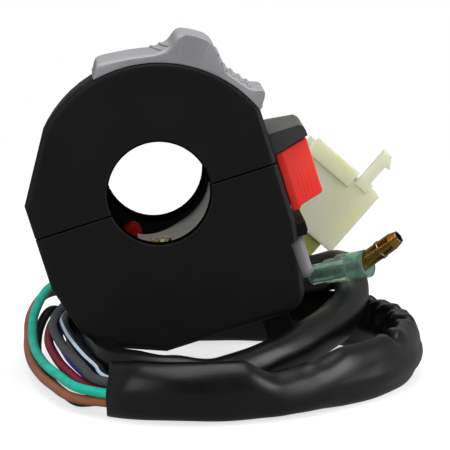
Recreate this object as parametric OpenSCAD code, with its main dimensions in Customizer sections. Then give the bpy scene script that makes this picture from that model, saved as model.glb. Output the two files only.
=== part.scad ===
// Handlebar switch cluster: a two-piece clamp housing with a light slider on its crown, a red
// stop switch and a start button on its right side, and a sleeved wiring loom with its connectors.
// The bar runs along Y through the origin. The near face looks to -Y. The housing's own frame has
// u to the right along the seam and v up across it, and it leans about the bar from X and Z.

/* [Handlebar clamp] */
// Diameter of the handlebar that the two halves grip
bar_d = 22.2; // [21:0.1:23]
// Length of the housing along the bar
clamp_len = 42; // [40:0.5:50]
// Lean of the seam from level
lean = 17.5; // [10:0.5:25]

/* [Housing] */
// Radius of the crown over the bar
crown_r = 28.6; // [28:0.1:31]
// Narrowing of the crown from the near face to the step
crown_draft = 0.95; // [0.5:0.05:1.3]
// Length of the full-size front block of the upper half, from the near face to the step
front_len = 21; // [20.5:0.1:23]
// Inward step from the front block to the rear block
rear_step = 3; // [2:0.1:3.6]
// Length of the rear block behind the step of the upper half
rear_len = 15.5; // [15:0.1:17]
// Radius of the round collar at the far end of the upper half
collar_r = 24.5; // [22:0.1:25.2]
// Distance from the bar's axis to the switch wall on the right
switch_wall = 26.3; // [26:0.1:27.2]
// Distance from the bar's axis to the left wall
left_wall = 28.6; // [27.6:0.1:30.5]
// Depth of the flat bottom under the bar's axis
bottom_depth = 33.9; // [33.6:0.1:37]
// Depth of the seam under the bar's axis
seam_drop = 1.6; // [1.2:0.1:2.2]
// Gap between the two halves along the seam
seam_gap = 0.4; // [0.2:0.05:0.7]
// Wall thickness of the shells
wall = 2.4; // [2:0.05:2.7]
// Thickness of the near end wall
end_wall = 2.8; // [2.4:0.05:3.4]
// Rounding of the near edge
edge_round = 1.6; // [0.8:0.1:2]
// Length of the lower half that grips the bar at its far end, with a far collar of 5.5
grip_len = 9.5; // [8:0.1:12]

/* [Light slider] */
// Housing angle of the slider's middle at rest
light_angle = 62; // [58:0.5:64]
// Half of the angle that the slider's wings span
wing_span = 36.5; // [34:0.5:38]
// Throw of the slider to each side, in degrees
light_throw = 12; // [8:0.5:13]
// Height of the wings over the crown
wing_rise = 1.4; // [1.1:0.1:2.2]
// Height of the thumb tab over the crown
tab_rise = 6.3; // [5:0.1:8]
// Width of the slider along the bar
slider_w = 17; // [13:0.5:18]
// Setback of the slider from the near face
slider_back = 0.4; // [0.3:0.1:2.5]

/* [Stop switch] */
// Reach of the knob out of the switch wall
knob_reach = 7.8; // [6:0.1:9]
// Height of the knob along its travel
knob_h = 13; // [11:0.1:13.6]
// Length of the knob along the bar
knob_len = 20; // [18:0.5:22]
// Travel of the knob
knob_travel = 2.4; // [1.8:0.1:2.8]
// Length of the hood over the knob, along the bar
hood_len = 26; // [23:0.5:30]

/* [Start button] */
// Height of the button
button_h = 9.2; // [8:0.1:9.8]
// Length of the button along the bar
button_len = 17.4; // [15:0.2:19]
// Reach of the button out of its recess
button_reach = 4.9; // [4:0.1:6]
// Travel of the button
button_travel = 2.5; // [2:0.1:2.8]

/* [Fasteners and contacts] */
// Shank diameter of the housing screws
screw_d = 4; // [3.5:0.1:4.2]
// Thickness of the contact boards
board_t = 1.5; // [1.2:0.1:1.8]
// Shank diameter of the contact rivets
rivet_d = 1.6; // [1.2:0.1:1.7]
// Diameter of the detent balls
ball_d = 2.6; // [2.2:0.1:2.8]
// Thickness of the steel cover plate in the bore
plate_t = 0.8; // [0.6:0.1:1]

/* [Loom] */
// Diameter of the sheath over the wires
sheath_d = 9; // [8:0.5:9.5]
// Diameter of each insulated wire
wire_d = 2.1; // [1.6:0.1:2.2]
// Length of the connector body along its mating axis
connector_l = 17.4; // [16:0.1:20]
// Width of the connector body
connector_w = 20.6; // [18:0.1:24]
// Thickness of the connector body
connector_t = 12; // [11:0.1:13]

/* [Hidden] */
$fn = 64;
arc_steps = 20;
corner_steps = 6;
round_steps = 4;
cord_sides = 8;
sheath_sides = 10;
coil_sides = 6;
turn_steps = 12;
big = 200;
hair = 0.01;

// Clearance between pieces that move past each other
run = 0.35;
// Clearance between pieces that are fitted and stay
seat = 0.1;

// Places along the bar
bar_r = bar_d / 2;
near_y = -clamp_len / 2;
far_y = clamp_len / 2;
near_in = near_y + end_wall;
step_y = near_y + front_len;
lower_step = step_y + 7.5;
rear_y = step_y + rear_len;
far_collar = 5.5;
cavity_far = rear_y + far_collar - grip_len;
rear_draft = 0.6;
lower_collar_r = bar_r + 4.2;
rim_chamfer = 0.5;

// Seam faces of the two halves
seam_top = -seam_drop + seam_gap / 2;
seam_low = -seam_drop - seam_gap / 2;

// Outline of the front block, in the housing frame
crown_end = 133;
shoulder_v = 6;
left_turn = 13;
corner_r = 11.6;
corner_u = left_wall - corner_r - 2;
corner_v = bottom_depth - corner_r - 3.3;
corner_from = 190;
corner_to = 256;
flat_from = -9;
toe_r = 4.9;
toe_in = 2.5;
right_turn = 15;
floor_v = -bottom_depth + crown_draft + wall;
wall_in = switch_wall - wall;

// Start button's height over the bottom, and its recess in the right wall
button_rise = 9.4;
button_v = button_rise - bottom_depth;
button_top = button_v + button_h / 2;
button_low = button_v - button_h / 2;
recess_u = switch_wall - 4.6;
recess_face = switch_wall - 2.4;
recess_slope = 0.4;
recess_top = -button_top - 0.7;
recess_low = -button_low - 0.4;
recess_in = recess_u - wall;
flange_rim = 1.1;

// Lug under the bottom
lug_u = [12.9, 19];
lug_h = 7.2;
lug_y = [-7, 4.5];

// Housing screws: place across and along, and head sizes
screw_at = [[-20.5, -4], [19.2, step_y + 10]];
screw_head_d = screw_d * 1.65;
screw_head_h = 2.4;
screw_bore_d = screw_d + 0.5;
head_bore_d = screw_head_d + 0.6;
boss_d = head_bore_d + 2.4;
head_v = -17;
insert_d = screw_d + 2;
insert_len = 8;
insert_boss_d = insert_d + 3;

// Light slider, radii about the bar and places along it
light_roof = crown_r - crown_draft - wall;
slider_y = near_y + slider_back;
slider_far = slider_y + slider_w;
wing_r = crown_r + wing_rise;
tab_root = crown_r + 0.6;
wing_soft = 0.7;
wing_skirt = 3;
skirt_r = crown_r + 0.7;
carrier_out = light_roof - run;
carrier_in = carrier_out - 7.4;
carrier_span = 13;
carrier_y = near_in + 0.3;
carrier_far = carrier_y + 9.5;
stem_span = 4.5;
stem_y = [carrier_y + 1.5, carrier_y + 7.3];
stem_root = carrier_out - 2;
stem_seat = 0.3;
slot_span = stem_span + light_throw + 1.5;
contact_r = (carrier_out + carrier_in) / 2;
detent_depth = 5;
detent_bore_d = ball_d + 0.3;
groove_depth = 0.7;
groove_w = 3.4;
dimple_d = 1.6;
dimple_depth = 0.25;
ball_proud = 0.6;
bridge_t = 0.8;
bridge_w = 2.8;
bridge_proud = 0.3;
dome_r = 0.9;
dome_proud = 0.5;
dome_span = 5.4;
pocket_depth = 3;
pocket_span = 8;
pocket_w = bridge_w + 0.4;
rivet_head_t = 0.8;
rivet_head_d = rivet_d * 1.8;
rivet_tail_t = 0.6;
light_rivet_y = carrier_far + bridge_proud + dome_proud + 0.3;
light_board_y = light_rivet_y + rivet_head_t;
light_board_far = light_board_y + board_t;
light_board_span = 33;
light_board_r = [carrier_in - 1.5, light_roof - 0.5];
light_rivets = [-16, -5.4, 5.4, 16];
light_screw_span = 27;
board_screw_d = 2;
board_screw_head_d = 3.6;
board_screw_head_t = 0.9;
board_screw_len = 5;
light_post_d = 5;
light_rear = step_y - 1.5;

// Coils of the detent and bridge springs
coil_r = 0.9;
coil_wire = 0.35;
detent_coil_from = sqrt(ball_d * ball_d / 4 - coil_r * coil_r) + coil_wire / 2 + 0.05;
detent_coil_len = detent_depth + ball_proud - ball_d / 2 - detent_coil_from - coil_wire / 2 - 0.05;
detent_turns = 3;
bridge_coil_len = pocket_depth + bridge_proud - bridge_t - coil_wire - 0.1;
bridge_turns = 2;

// Stop switch, in the housing frame
knob_in = switch_wall + run;
knob_low = -13.7;
knob_high = knob_low + knob_h;
knob_out = switch_wall + knob_reach;
knob_shear = 1.7;
knob_foot = 1.5;
knob_y = near_y + 6;
knob_far = knob_y + knob_len;
kill_stem_v = [-10, -6];
kill_stem_y = [-9, -1];
kill_carrier_v = [-11.5, -4.5];
kill_carrier_y = [-14.5, 1];
kill_carrier_u = [wall_in - 6.1, wall_in - 0.3];
kill_mid_v = (kill_carrier_v[0] + kill_carrier_v[1]) / 2;
kill_stem_root = kill_carrier_u[1] - 2;
kill_ball_y = -12;
kill_bridge_y = [-9.8, -1.8];
kill_bridge_mid = (kill_bridge_y[0] + kill_bridge_y[1]) / 2;
kill_dome = 2.8;
kill_rivet_u = kill_carrier_u[0] - bridge_proud - dome_proud - 0.3;
kill_board_u = kill_rivet_u - rivet_head_t;
kill_board_in = kill_board_u - board_t;
kill_board_v = [max(-17, button_top + run), -3];
kill_board_y = [-15.5, 2];
kill_rail_v = [max(-16.6, button_top + flange_rim + run), -3.6];
kill_web_y = [kill_carrier_y[1] + 0.6, kill_carrier_y[1] + 3];
rail_rim = 1.3;
rail_grip = 0.5;
hood_y = near_y + 4.5;
hood_far = hood_y + hood_len;
hood_slant = 9.5;
hood_top = 4.35;
hood_tip = knob_out + 0.4;
hood_root = switch_wall - 2.3;
lip_top = knob_low - knob_travel - 0.3;
lip_out = switch_wall + 2.1;

// Start button, in the housing frame
button_y = near_y + 7;
button_mid = button_y + button_len / 2;
button_out = recess_u + button_reach + 0.3;
button_corner = 1.8;
flange_t = 1.6;
flange_out = recess_in - run;
flange_in = flange_out - flange_t;
button_in = flange_in - 1.8;
pole_y = button_mid - 4.2;
pole_d = 3;
shoulder_d = 4.6;
pole_in = button_in - 4.6;
start_bridge_u = button_in - 1.5;
start_dome = 3.4;
retainer_t = 0.7;
retainer_d = 5;
start_rivet_u = start_bridge_u - bridge_t - dome_proud - button_travel - 0.3;
start_board_u = start_rivet_u - rivet_head_t;
start_board_in = start_board_u - board_t;
start_board_y = [button_mid - 8, button_mid + 8];
start_board_v = [floor_v + 0.2, button_v + 6.5];
start_rib_h = 1;
return_y = button_mid + 4.2;
return_spring_d = 5.4;
return_wire = 0.5;
return_turns = 5;
return_pocket = 4;
return_from = start_board_u + return_wire / 2 + 0.05;
return_len = button_in + return_pocket - return_wire / 2 - 0.05 - return_from;
recess_far = button_y + button_len + 1;

// Cover plate in the bore, and its screw
plate_r = bar_r + 1.2;
plate_out = plate_r + plate_t;
plate_y = [near_in + 0.3, cavity_far - 0.3];
plate_angles = [-128, -11];
plate_screw_angle = -104;
plate_screw_y = -11;
plate_screw_d = 2.6;
plate_screw_len = 8;
plate_head_d = 4.6;
plate_head_t = 0.65;
plate_head_r = sqrt(plate_r * plate_r - plate_head_d * plate_head_d / 4) - 0.02;
plate_boss_d = 6;

// Red splice cap beside the plate, set in the rear wall
cap_d = 4.4;
cap_at = [-8.8, cavity_far - 3.5, -10.9];
cap_len = 6;
cap_edge = 0.4;

// Sheath: out of the rear wall, over to the right, forward and under, then round the whole loop
sheath_route = [
    [10, 18, -20.5], [10.5, 24.5, -20.5], [13.5, 31, -21.5], [19.5, 36, -24.5], [27.5, 38, -27.5],
    [36.5, 35, -28], [42.5, 30, -25.8], [45, 22.5, -25.5], [45, 14, -29], [42.5, 4, -30.5],
    [38, -6, -32], [32, -16, -33.5], [23.5, -26, -36], [13, -35.5, -38.5], [3.5, -38.5, -39],
    [-5.5, -35.5, -39], [-10.5, -29, -39], [-12.5, -21, -39], [-14, -11, -39], [-15.5, 2, -39],
    [-16.5, 14, -39], [-14.5, 25, -38.5], [-8, 33, -38.5], [2, 36.5, -38.5], [15, 37, -38.5],
    [28, 37, -38.5], [40, 34, -38.5], [49.5, 26, -38.5], [54.5, 14, -38.5], [56, 1, -38.5],
    [54, -12, -38.5], [48, -25, -38.5], [39, -36, -38.5], [28, -45, -38.5], [16, -51, -38.5],
    [5, -52, -38.5], [-5, -49, -38.5], [-12, -44, -38.5]];

// Wires: out of the sheath's cut end, round the left side, behind the housing to the connector
green_route = [
    [-13.4, -45.9, -38.5], [-17.5, -41.5, -38.5], [-19.9, -36, -38.4], [-22, -28, -38.4],
    [-24.2, -20, -38.3], [-26, -11, -38], [-27.2, -3, -37.4], [-27.8, 5, -36.5], [-27.8, 12, -34],
    [-26.9, 18, -31.8], [-24.9, 25, -29.4], [-22, 31.7, -28.6], [-17, 38.5, -28.5], [-8.5, 43.5, -27.8],
    [2, 45.5, -27.5], [12, 46, -27], [21, 47.5, -26], [28, 49, -24], [32.2, 49.5, -19.9]];
brown_route = [
    [-12.7, -45, -40.7], [-17.6, -41.1, -40.9], [-20.8, -36, -40.8], [-23, -28, -40.8],
    [-25.2, -20, -40.7], [-27, -11, -40.4], [-28.2, -3, -39.8], [-28.8, 5, -38.9], [-28.8, 12, -37.3],
    [-28.6, 18, -34.4], [-26.6, 25, -31.6], [-23.6, 31.9, -30.8], [-17, 38.5, -31], [-8.5, 43.5, -30.3],
    [2, 45.5, -30], [13, 46, -29.8], [23, 47.5, -29], [31, 49, -27], [35.4, 49.5, -22.7]];
black_route = [
    [-11.3, -43, -40.7], [-15.3, -40, -41.7], [-18.1, -36, -42.5], [-20.2, -28, -42.8],
    [-22.2, -20, -42.9], [-23.8, -11, -42.9], [-25.2, -3, -41.9], [-26.6, 5, -41], [-26.9, 12, -39],
    [-26.1, 18, -36], [-23.8, 25, -33.8], [-19.6, 31, -35.3], [-14.4, 35.4, -34.4], [-7, 36.5, -32],
    [2.5, 34.8, -30.4], [12, 31, -29], [21, 26.5, -27], [28, 21, -26], [33, 16, -25], [36, 13, -24],
    [40, 10.3, -22.7], [43, 8.3, -21.7], [46, 6.3, -20.6]];
red_route = [
    [-12, -44, -38.5], [-15.2, -40.5, -38.5], [-17.2, -36, -38.4], [-19.3, -28, -38.2],
    [-21.4, -20, -37.7], [-23, -11, -37], [-24.1, -3, -36.2], [-24.1, 5, -35.4], [-23.4, 12, -34.6],
    [-22.3, 18, -34.2], [-20.4, 25, -33.6], [-17.9, 30.4, -33.2], [-14.5, 35.8, -31.9],
    [-7.5, 40.6, -30.3], [2, 42.5, -30], [13, 43, -29.8], [23, 44, -29], [31, 44.5, -27],
    [35.4, 44.5, -22.7]];
blue_route = [
    [-10.6, -42.1, -38.5], [-13, -39.3, -38.3], [-14.7, -36, -38], [-16.9, -28, -37.4],
    [-19.1, -20, -36.7], [-20.7, -11, -35.9], [-21.9, -3, -35], [-21.8, 5, -34.6], [-21.1, 12, -34.4],
    [-20, 18, -34], [-18, 25, -33.2], [-15.9, 30, -31.6], [-13.3, 35.4, -29.4], [-7.4, 40.4, -28],
    [2, 42.5, -27.5], [12, 43, -27], [21, 44, -26], [28, 44.5, -24], [32.2, 44.5, -19.9]];
grey_route = [
    [-12.7, -45, -36.3], [-15.2, -40.9, -36.1], [-16.1, -36, -35.9], [-18, -28, -35.4],
    [-20.4, -20, -34.5], [-22, -11, -33.8], [-23.1, -3, -32.8], [-22.9, 5, -32.3], [-22, 12, -32],
    [-20.9, 18, -31.8], [-19.1, 25, -30.8], [-17.5, 31, -28.6], [-15.2, 37.4, -26.7], [-8.5, 43, -25.5],
    [2, 45.5, -25], [11, 46, -24.5], [19, 47.5, -23.3], [25.5, 49, -21], [28.9, 49.5, -17]];
light_blue_route = [
    [-11.3, -43, -36.3], [-12.8, -39.7, -35.9], [-13.4, -36, -35.4], [-15.7, -28, -34.8],
    [-18, -20, -33.6], [-19.6, -11, -32.9], [-20.7, -3, -31.9], [-20.6, 5, -32.3], [-19.7, 12, -32.4],
    [-18.6, 18, -32.2], [-16.7, 25, -30.9], [-15.1, 29.5, -29.1], [-12.9, 35, -27], [-7.2, 40.2, -25.5],
    [2, 42.5, -25], [11, 43, -24.5], [19, 44, -23.3], [25.5, 44.5, -21], [28.9, 44.5, -17]];

// Loom outlet in the rear wall, where the sheath starts
sheath_start = sheath_route[0];
outlet = [sheath_start[0] * cos(lean) + sheath_start[2] * sin(lean),
    sheath_start[2] * cos(lean) - sheath_start[0] * sin(lean)];
outlet_d = sheath_d + 3.2;
outlet_rim = 1.2;
outlet_lip_t = 1.6;
loom_d = 6;

// Connector: middle, turn of its mating axis, and its parts
connector_at = [40.5, 47, -10.3];
connector_turn = 49;
connector_edge = 1;
retainer_l = 4;
retainer_w = 15;
retainer_h = 9;
cavity_pitch = 4.3;
cavity_row = 2.5;
cavity_w = 3.2;
cavity_depth = 13;
terminal_w = 2.2;
terminal_l = 11;
latch_w = 2.7;
latch_l = 9.3;
latch_t = 1.8;
hook_l = 2.7;
hook_h = 1.3;
rib_l = 13;
rib_h = 0.5;
rib_proud = 1.3;

// Bullet terminal and its sleeve
sleeve_from = [36, 13, -24];
sleeve_to = [47.9, 5.1, -20.1];
sleeve_l = norm(sleeve_to - sleeve_from);
sleeve_bore_r = wire_d / 2 + 0.3;
bullet_from = [46.6, 6, -20.2];
bullet_to = [54.5, 2, -13.6];
bullet_l = norm(bullet_to - bullet_from);
bullet_r = 1.95;

// Turns the housing frame into the part's frame
module leaned() rotate([0, -lean, 0]) children();

// Profile in u and v, drawn out along the bar from y0 to y1
module along_bar(y0, y1) translate([0, y1, 0]) rotate([90, 0, 0])
    linear_extrude(height = y1 - y0) children();

// Profile in y and v, drawn out across the housing from u0 to u1
module across(u0, u1) translate([u0, 0, 0]) rotate([90, 0, 90])
    linear_extrude(height = u1 - u0) children();

// Profile in radius and y, turned about the bar from angle a0 to a1
module about_bar(a0, a1) rotate([90, 0, 0]) rotate([0, 0, a0])
    rotate_extrude(angle = a1 - a0) mirror([0, 1]) children();

// Round bar along Y from y0 to y1
module rod(y0, y1, d) translate([0, y0, 0]) rotate([-90, 0, 0]) cylinder(d = d, h = y1 - y0);

// Round bar along u from u0 to u1
module crossrod(u0, u1, d) translate([u0, 0, 0]) rotate([0, 90, 0]) cylinder(d = d, h = u1 - u0);

// Place on the light switch's circle at an angle from the slider's middle
module at_light(offset_angle) rotate([0, -light_angle - offset_angle, 0])
    translate([contact_r, 0, 0]) children();

// Place facing straight out from the bar at a housing angle
module outward(angle, y) translate([0, y, 0]) rotate([0, 90 - angle, 0]) children();

// Place at a point, with Z turned to face another point
module facing(from, to) let (d = to - from, flat = norm([d[0], d[1]]))
    translate(from) rotate([0, atan2(flat, d[2]), atan2(d[1], d[0])]) children();

// Rectangle in a range of two coordinates
module plate_rect(a, b) translate([a[0], b[0]]) square([a[1] - a[0], b[1] - b[0]]);

// Rectangle with round corners about the middle
module soft_rect(w, h, r) {
    square([w - 2 * r, h], center = true);
    square([w, h - 2 * r], center = true);
    for (a = [-1, 1], b = [-1, 1]) translate([a * (w / 2 - r), b * (h / 2 - r)]) circle(r);
}

// Box in ranges of u, y and v
module block(u, y, v) translate([u[0], y[0], v[0]])
    cube([u[1] - u[0], y[1] - y[0], v[1] - v[0]]);

function unit(a) = [cos(a), sin(a)];

// Points of the housing's outline, brought in by an inset, and by another on the switch wall
function housing_outline(inset, right_inset) =
    let (r = crown_r - inset, right = switch_wall - right_inset, left = left_wall - inset,
        low = bottom_depth - inset, from = acos(min(1, right / r)),
        toe = max(0.3, toe_r - inset), toe_u = right - toe_in)
    concat(
        [for (i = [0 : arc_steps]) r * unit(from + (crown_end - from) * i / arc_steps)],
        [[-left, shoulder_v], [-left, -left_turn]],
        [for (i = [0 : corner_steps]) [-corner_u, -corner_v]
            + (corner_r - inset) * unit(corner_from + (corner_to - corner_from) * i / corner_steps)],
        [[flat_from, -low]],
        [for (i = [0 : corner_steps]) [toe_u - toe, toe - low] + toe * unit(90 * i / corner_steps - 90)],
        [[right, -right_turn]]);

// Radius of the crown at a place along the bar
function crown_at(y) = crown_r - crown_draft * (y - near_y - edge_round) / (front_len - edge_round);

// Radius of the crown's rounded near edge at a place along the bar
function crown_edge(y) = crown_r - edge_round * (1 - cos(asin(max(0, 1 - (y - near_y) / edge_round))));

// Point on a smooth curve through a route, between points i and i + 1
function curve_point(p, i, t) =
    let (a = p[max(i - 1, 0)], b = p[i], c = p[i + 1], d = p[min(i + 2, len(p) - 1)])
    b + 0.5 * t * (c - a + t * (2 * a - 5 * b + 4 * c - d + t * (3 * b - a - 3 * c + d)));

// Route with extra points on the smooth curve
function smooth(p, n) = concat(
    [for (i = [0 : len(p) - 2], k = [0 : n - 1]) curve_point(p, i, k / n)], [p[len(p) - 1]]);

// Points of a coil that rises along Z
function coil(r, h, turns) = let (n = turns * turn_steps)
    [for (i = [0 : n]) [r * cos(360 * i / turn_steps), r * sin(360 * i / turn_steps), h * i / n]];

// Least clear gap between neighbouring turns of a coil
function coil_gap(p, wire) = min([for (i = [0 : len(p) - 1], j = [i + turn_steps / 2 : len(p) - 1])
    if (j < len(p)) norm(p[i] - p[j])]) - wire;

function route_way(p, i) = let (d = p[min(i + 1, len(p) - 1)] - p[max(i - 1, 0)]) d / norm(d);

function route_ring(p, i, r, sides) =
    let (t = route_way(p, i), side = cross(t, [0, 0, 1]), s = side / norm(side), w = cross(s, t))
    [for (k = [0 : sides - 1]) p[i] + r * (cos(360 * k / sides) * s + sin(360 * k / sides) * w)];

// Round tube of radius r along points
module swept(p, r, sides) {
    last = len(p) - 1;
    ends = concat([[for (k = [sides - 1 : -1 : 0]) k]], [[for (k = [0 : sides - 1]) last * sides + k]]);
    halves = [for (i = [0 : last - 1], k = [0 : sides - 1])
        let (n = (k + 1) % sides) [i * sides + k, i * sides + n, (i + 1) * sides + n]];
    others = [for (i = [0 : last - 1], k = [0 : sides - 1])
        let (n = (k + 1) % sides) [i * sides + k, (i + 1) * sides + n, (i + 1) * sides + k]];
    polyhedron(
        points = [for (i = [0 : last]) each route_ring(p, i, r, sides)],
        faces = concat(ends, halves, others));
}

// Thin slice of the housing's outline
module slice(y, inset, right_inset) along_bar(y, y + hair)
    polygon(housing_outline(inset, right_inset));

// Front block from the near face, with its rounded near edge, to the step
module front_block(far) hull() {
    for (i = [0 : round_steps]) let (a = 90 * i / round_steps, in = edge_round * (1 - cos(a)))
        slice(near_y + edge_round * (1 - sin(a)), in, in);
    slice(far - hair, crown_draft, 0);
}

// Rear block behind the step
module rear_block(from) hull() {
    slice(from, rear_step, 0);
    slice(rear_y - edge_round, rear_step + rear_draft, 0);
    slice(rear_y - edge_round * 0.3, rear_step + rear_draft + edge_round * 0.3, edge_round * 0.3);
    slice(rear_y - hair, rear_step + rear_draft + edge_round, edge_round);
}

module above(v) translate([-big / 2, -big / 2, v]) cube(big);
module below(v) translate([-big / 2, -big / 2, v - big]) cube(big);

// Hole for the bar, with its chamfered near rim
module bar_hole() {
    rod(near_y - 1, far_y + 1, bar_d);
    translate([0, near_y, 0]) rotate([-90, 0, 0])
        cylinder(r1 = bar_r + rim_chamfer, r2 = bar_r, h = rim_chamfer);
}

// Outline of the lower cavity, front and rear
module lower_cavity() {
    along_bar(near_in, lower_step - wall) polygon(housing_outline(wall + crown_draft, wall));
    along_bar(near_in + 1, cavity_far) polygon(housing_outline(rear_step + rear_draft + wall, wall));
}

// Upper cavity over the tube round the bar
module upper_cavity() along_bar(near_in, light_rear) difference() {
    polygon(housing_outline(wall + crown_draft, wall));
    circle(bar_r + wall);
}

// Groove in the near wall where the light switch's ball runs, with a dimple at each stop
module light_groove() {
    about_bar(light_angle - light_throw - 6, light_angle + light_throw + 6)
        plate_rect([contact_r - groove_w / 2, contact_r + groove_w / 2],
            [near_in - groove_depth, near_in + 1]);
    for (a = [-light_throw, 0, light_throw]) at_light(a)
        rod(near_in - groove_depth - dimple_depth, near_in, dimple_d);
}

// Hood over the stop switch, its underside along the knob's top and its far end slanted
module hood() difference() {
    along_bar(hood_y, hood_far) polygon([
        [hood_root, knob_high + run], [knob_in, knob_high + run],
        [hood_tip, knob_high + run + knob_shear + 0.2], [hood_tip, hood_top - 1.75],
        [hood_tip - 0.3, hood_top - 0.7], [hood_tip - 1.1, hood_top], [hood_root, hood_top]]);
    linear_extrude(height = big, center = true) polygon([
        [switch_wall, hood_far], [hood_tip + 1, hood_far - hood_slant],
        [hood_tip + 1, hood_far + 1], [switch_wall, hood_far + 1]]);
}

module upper_housing() color("#232323") leaned() difference() {
    union() {
        difference() {
            intersection() {
                union() {
                    front_block(step_y);
                    rear_block(step_y - 1);
                    rod(step_y, far_y, 2 * collar_r);
                }
                above(seam_top);
            }
            upper_cavity();
        }
        translate([screw_at[0][0], screw_at[0][1], seam_top]) cylinder(d = insert_boss_d, h = insert_len + 2);
        for (a = [-light_screw_span, light_screw_span]) at_light(a)
            rod(light_board_far, light_rear + 1, light_post_d);
        hood();
    }
    bar_hole();
    light_groove();
    about_bar(light_angle - slot_span, light_angle + slot_span)
        plate_rect([light_roof - 1, crown_r + 2], [stem_y[0] - run, stem_y[1] + run]);
    for (a = [-light_screw_span, light_screw_span]) at_light(a)
        rod(light_board_y, light_board_y + board_screw_len + 0.5, board_screw_d + seat);
    for (p = screw_at) translate([p[0], p[1], seam_top - 1]) cylinder(d = insert_d, h = insert_len + 1);
}

// Lip under the stop switch's travel
module lip() along_bar(knob_y - 1.5, knob_far + 1.5) polygon([
    [hood_root, lip_top], [lip_out, lip_top], [lip_out, lip_top - 1.9],
    [lip_out - 0.8, lip_top - 3.1], [switch_wall - 3.1, lip_top - 3.7]]);

// Rails that hold the two boards in the lower half
module board_rails() {
    block([kill_board_in - rail_rim, kill_board_u + rail_rim],
        [near_in - 0.5, kill_board_y[0] + rail_grip], kill_rail_v);
    block([kill_board_in - rail_rim, wall_in + 0.5], kill_web_y, kill_rail_v);
    block([start_board_in - rail_rim, start_board_u + rail_rim],
        [near_in - 0.5, start_board_y[0] + rail_grip], [floor_v - 0.5, start_board_v[1] - 1]);
    block([start_board_in - rail_rim, start_board_u + rail_rim],
        [start_board_y[1] - rail_grip, start_board_y[1] + 1.5], [floor_v - 0.5, start_board_v[1] - 1]);
    block([start_board_in - rail_rim, start_board_u + rail_rim],
        start_board_y, [floor_v - 0.5, floor_v + start_rib_h]);
}

// Slots in the rails for the boards' edges
module board_slots() {
    block([kill_board_in - seat, kill_board_u + seat], [kill_board_y[0] - seat, kill_board_y[1] + seat],
        [kill_board_v[0] - seat, kill_board_v[1] + seat]);
    block([start_board_in - seat, start_board_u + seat], [start_board_y[0] - seat, start_board_y[1] + seat],
        [start_board_v[0] - seat, start_board_v[1] + seat]);
}

// Seat, shank hole and head bore for one housing screw
module screw_passage() {
    translate([0, 0, head_v - 1]) cylinder(d = screw_bore_d, h = big);
    translate([0, 0, head_v - big]) cylinder(d = head_bore_d, h = big);
}

module lower_shell() intersection() {
    union() {
        front_block(lower_step);
        rear_block(lower_step - 1);
        rod(step_y, far_y, 2 * lower_collar_r);
    }
    below(seam_low);
}

// Inner pieces of the lower half, cut to the shell's outside
module lower_inner() intersection() {
    union() {
        for (p = screw_at) translate([p[0], p[1], -bottom_depth]) cylinder(d = boss_d, h = bottom_depth);
        block([recess_in, switch_wall], [near_in - 0.5, recess_far + 1.6], [-recess_low - 3, wall - recess_top]);
        outward(plate_screw_angle, plate_screw_y) cylinder(d = plate_boss_d, h = bottom_depth);
        board_rails();
    }
    lower_shell();
}

module lower_housing() color("#202020") leaned() difference() {
    union() {
        difference() {
            lower_shell();
            lower_cavity();
        }
        lower_inner();
        lip();
        block(lug_u, lug_y, [-bottom_depth - lug_h, floor_v - 0.5]);
    }
    bar_hole();
    rod(near_in, cavity_far, 2 * (plate_out + 0.02));
    board_slots();
    for (p = screw_at) translate([p[0], p[1], 0]) screw_passage();
    along_bar(near_y - 1, recess_far) polygon([
        [recess_face, -recess_top], [switch_wall + 20, -recess_top],
        [switch_wall + 20, -recess_low], [recess_face + recess_slope, -recess_low]]);
    translate([0, button_mid, button_v]) across(recess_in - 1, switch_wall + 1)
        soft_rect(button_len + 2 * run, button_h + 2 * run, button_corner);
    block([wall_in - 1, switch_wall + 1], [kill_stem_y[0] - run, kill_stem_y[1] + run],
        [kill_stem_v[0] - knob_travel - run, kill_stem_v[1] + run]);
    block([wall_in - 1, wall_in + groove_depth], [kill_ball_y - groove_w / 2, kill_ball_y + groove_w / 2],
        [kill_mid_v - knob_travel - groove_w / 2, kill_mid_v + groove_w / 2]);
    for (v = [kill_mid_v, kill_mid_v - knob_travel]) translate([0, kill_ball_y, v])
        crossrod(wall_in, wall_in + groove_depth + dimple_depth, dimple_d);
    outward(plate_screw_angle, plate_screw_y)
        cylinder(d = plate_screw_d + 2 * seat, h = plate_r + plate_screw_len + 0.5);
    translate(cap_at) rod(0, cap_len + seat, cap_d + 0.04);
    translate([outlet[0], 0, outlet[1]]) {
        rod(cavity_far - 1, rear_y + 1, outlet_d);
        rod(cavity_far - outlet_lip_t - seat, cavity_far, outlet_d + outlet_rim + 2 * seat);
    }
}

// Cross recess of a screw, cut into a head whose face lies at the origin
module cross_recess(span, depth) for (a = [0, 90]) rotate([0, 0, a])
    translate([-span / 2, -span / 8, -1]) cube([span, span / 4, depth + 1]);

module housing_screws() color("#8a8a88") leaned() for (p = screw_at) translate([p[0], p[1], 0])
    difference() {
        union() {
            translate([0, 0, head_v - screw_head_h]) cylinder(d = screw_head_d, h = screw_head_h);
            translate([0, 0, head_v - 0.5]) cylinder(d = screw_d, h = seam_top + insert_len - head_v);
        }
        translate([0, 0, head_v - screw_head_h]) cross_recess(screw_head_d * 0.6, 1.2);
    }

module screw_inserts() color("#b8963a") leaned() for (p = screw_at)
    translate([p[0], p[1], seam_top]) difference() {
        cylinder(d = insert_d, h = insert_len);
        translate([0, 0, -1]) cylinder(d = screw_d + 0.04, h = insert_len + 2);
    }

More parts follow.
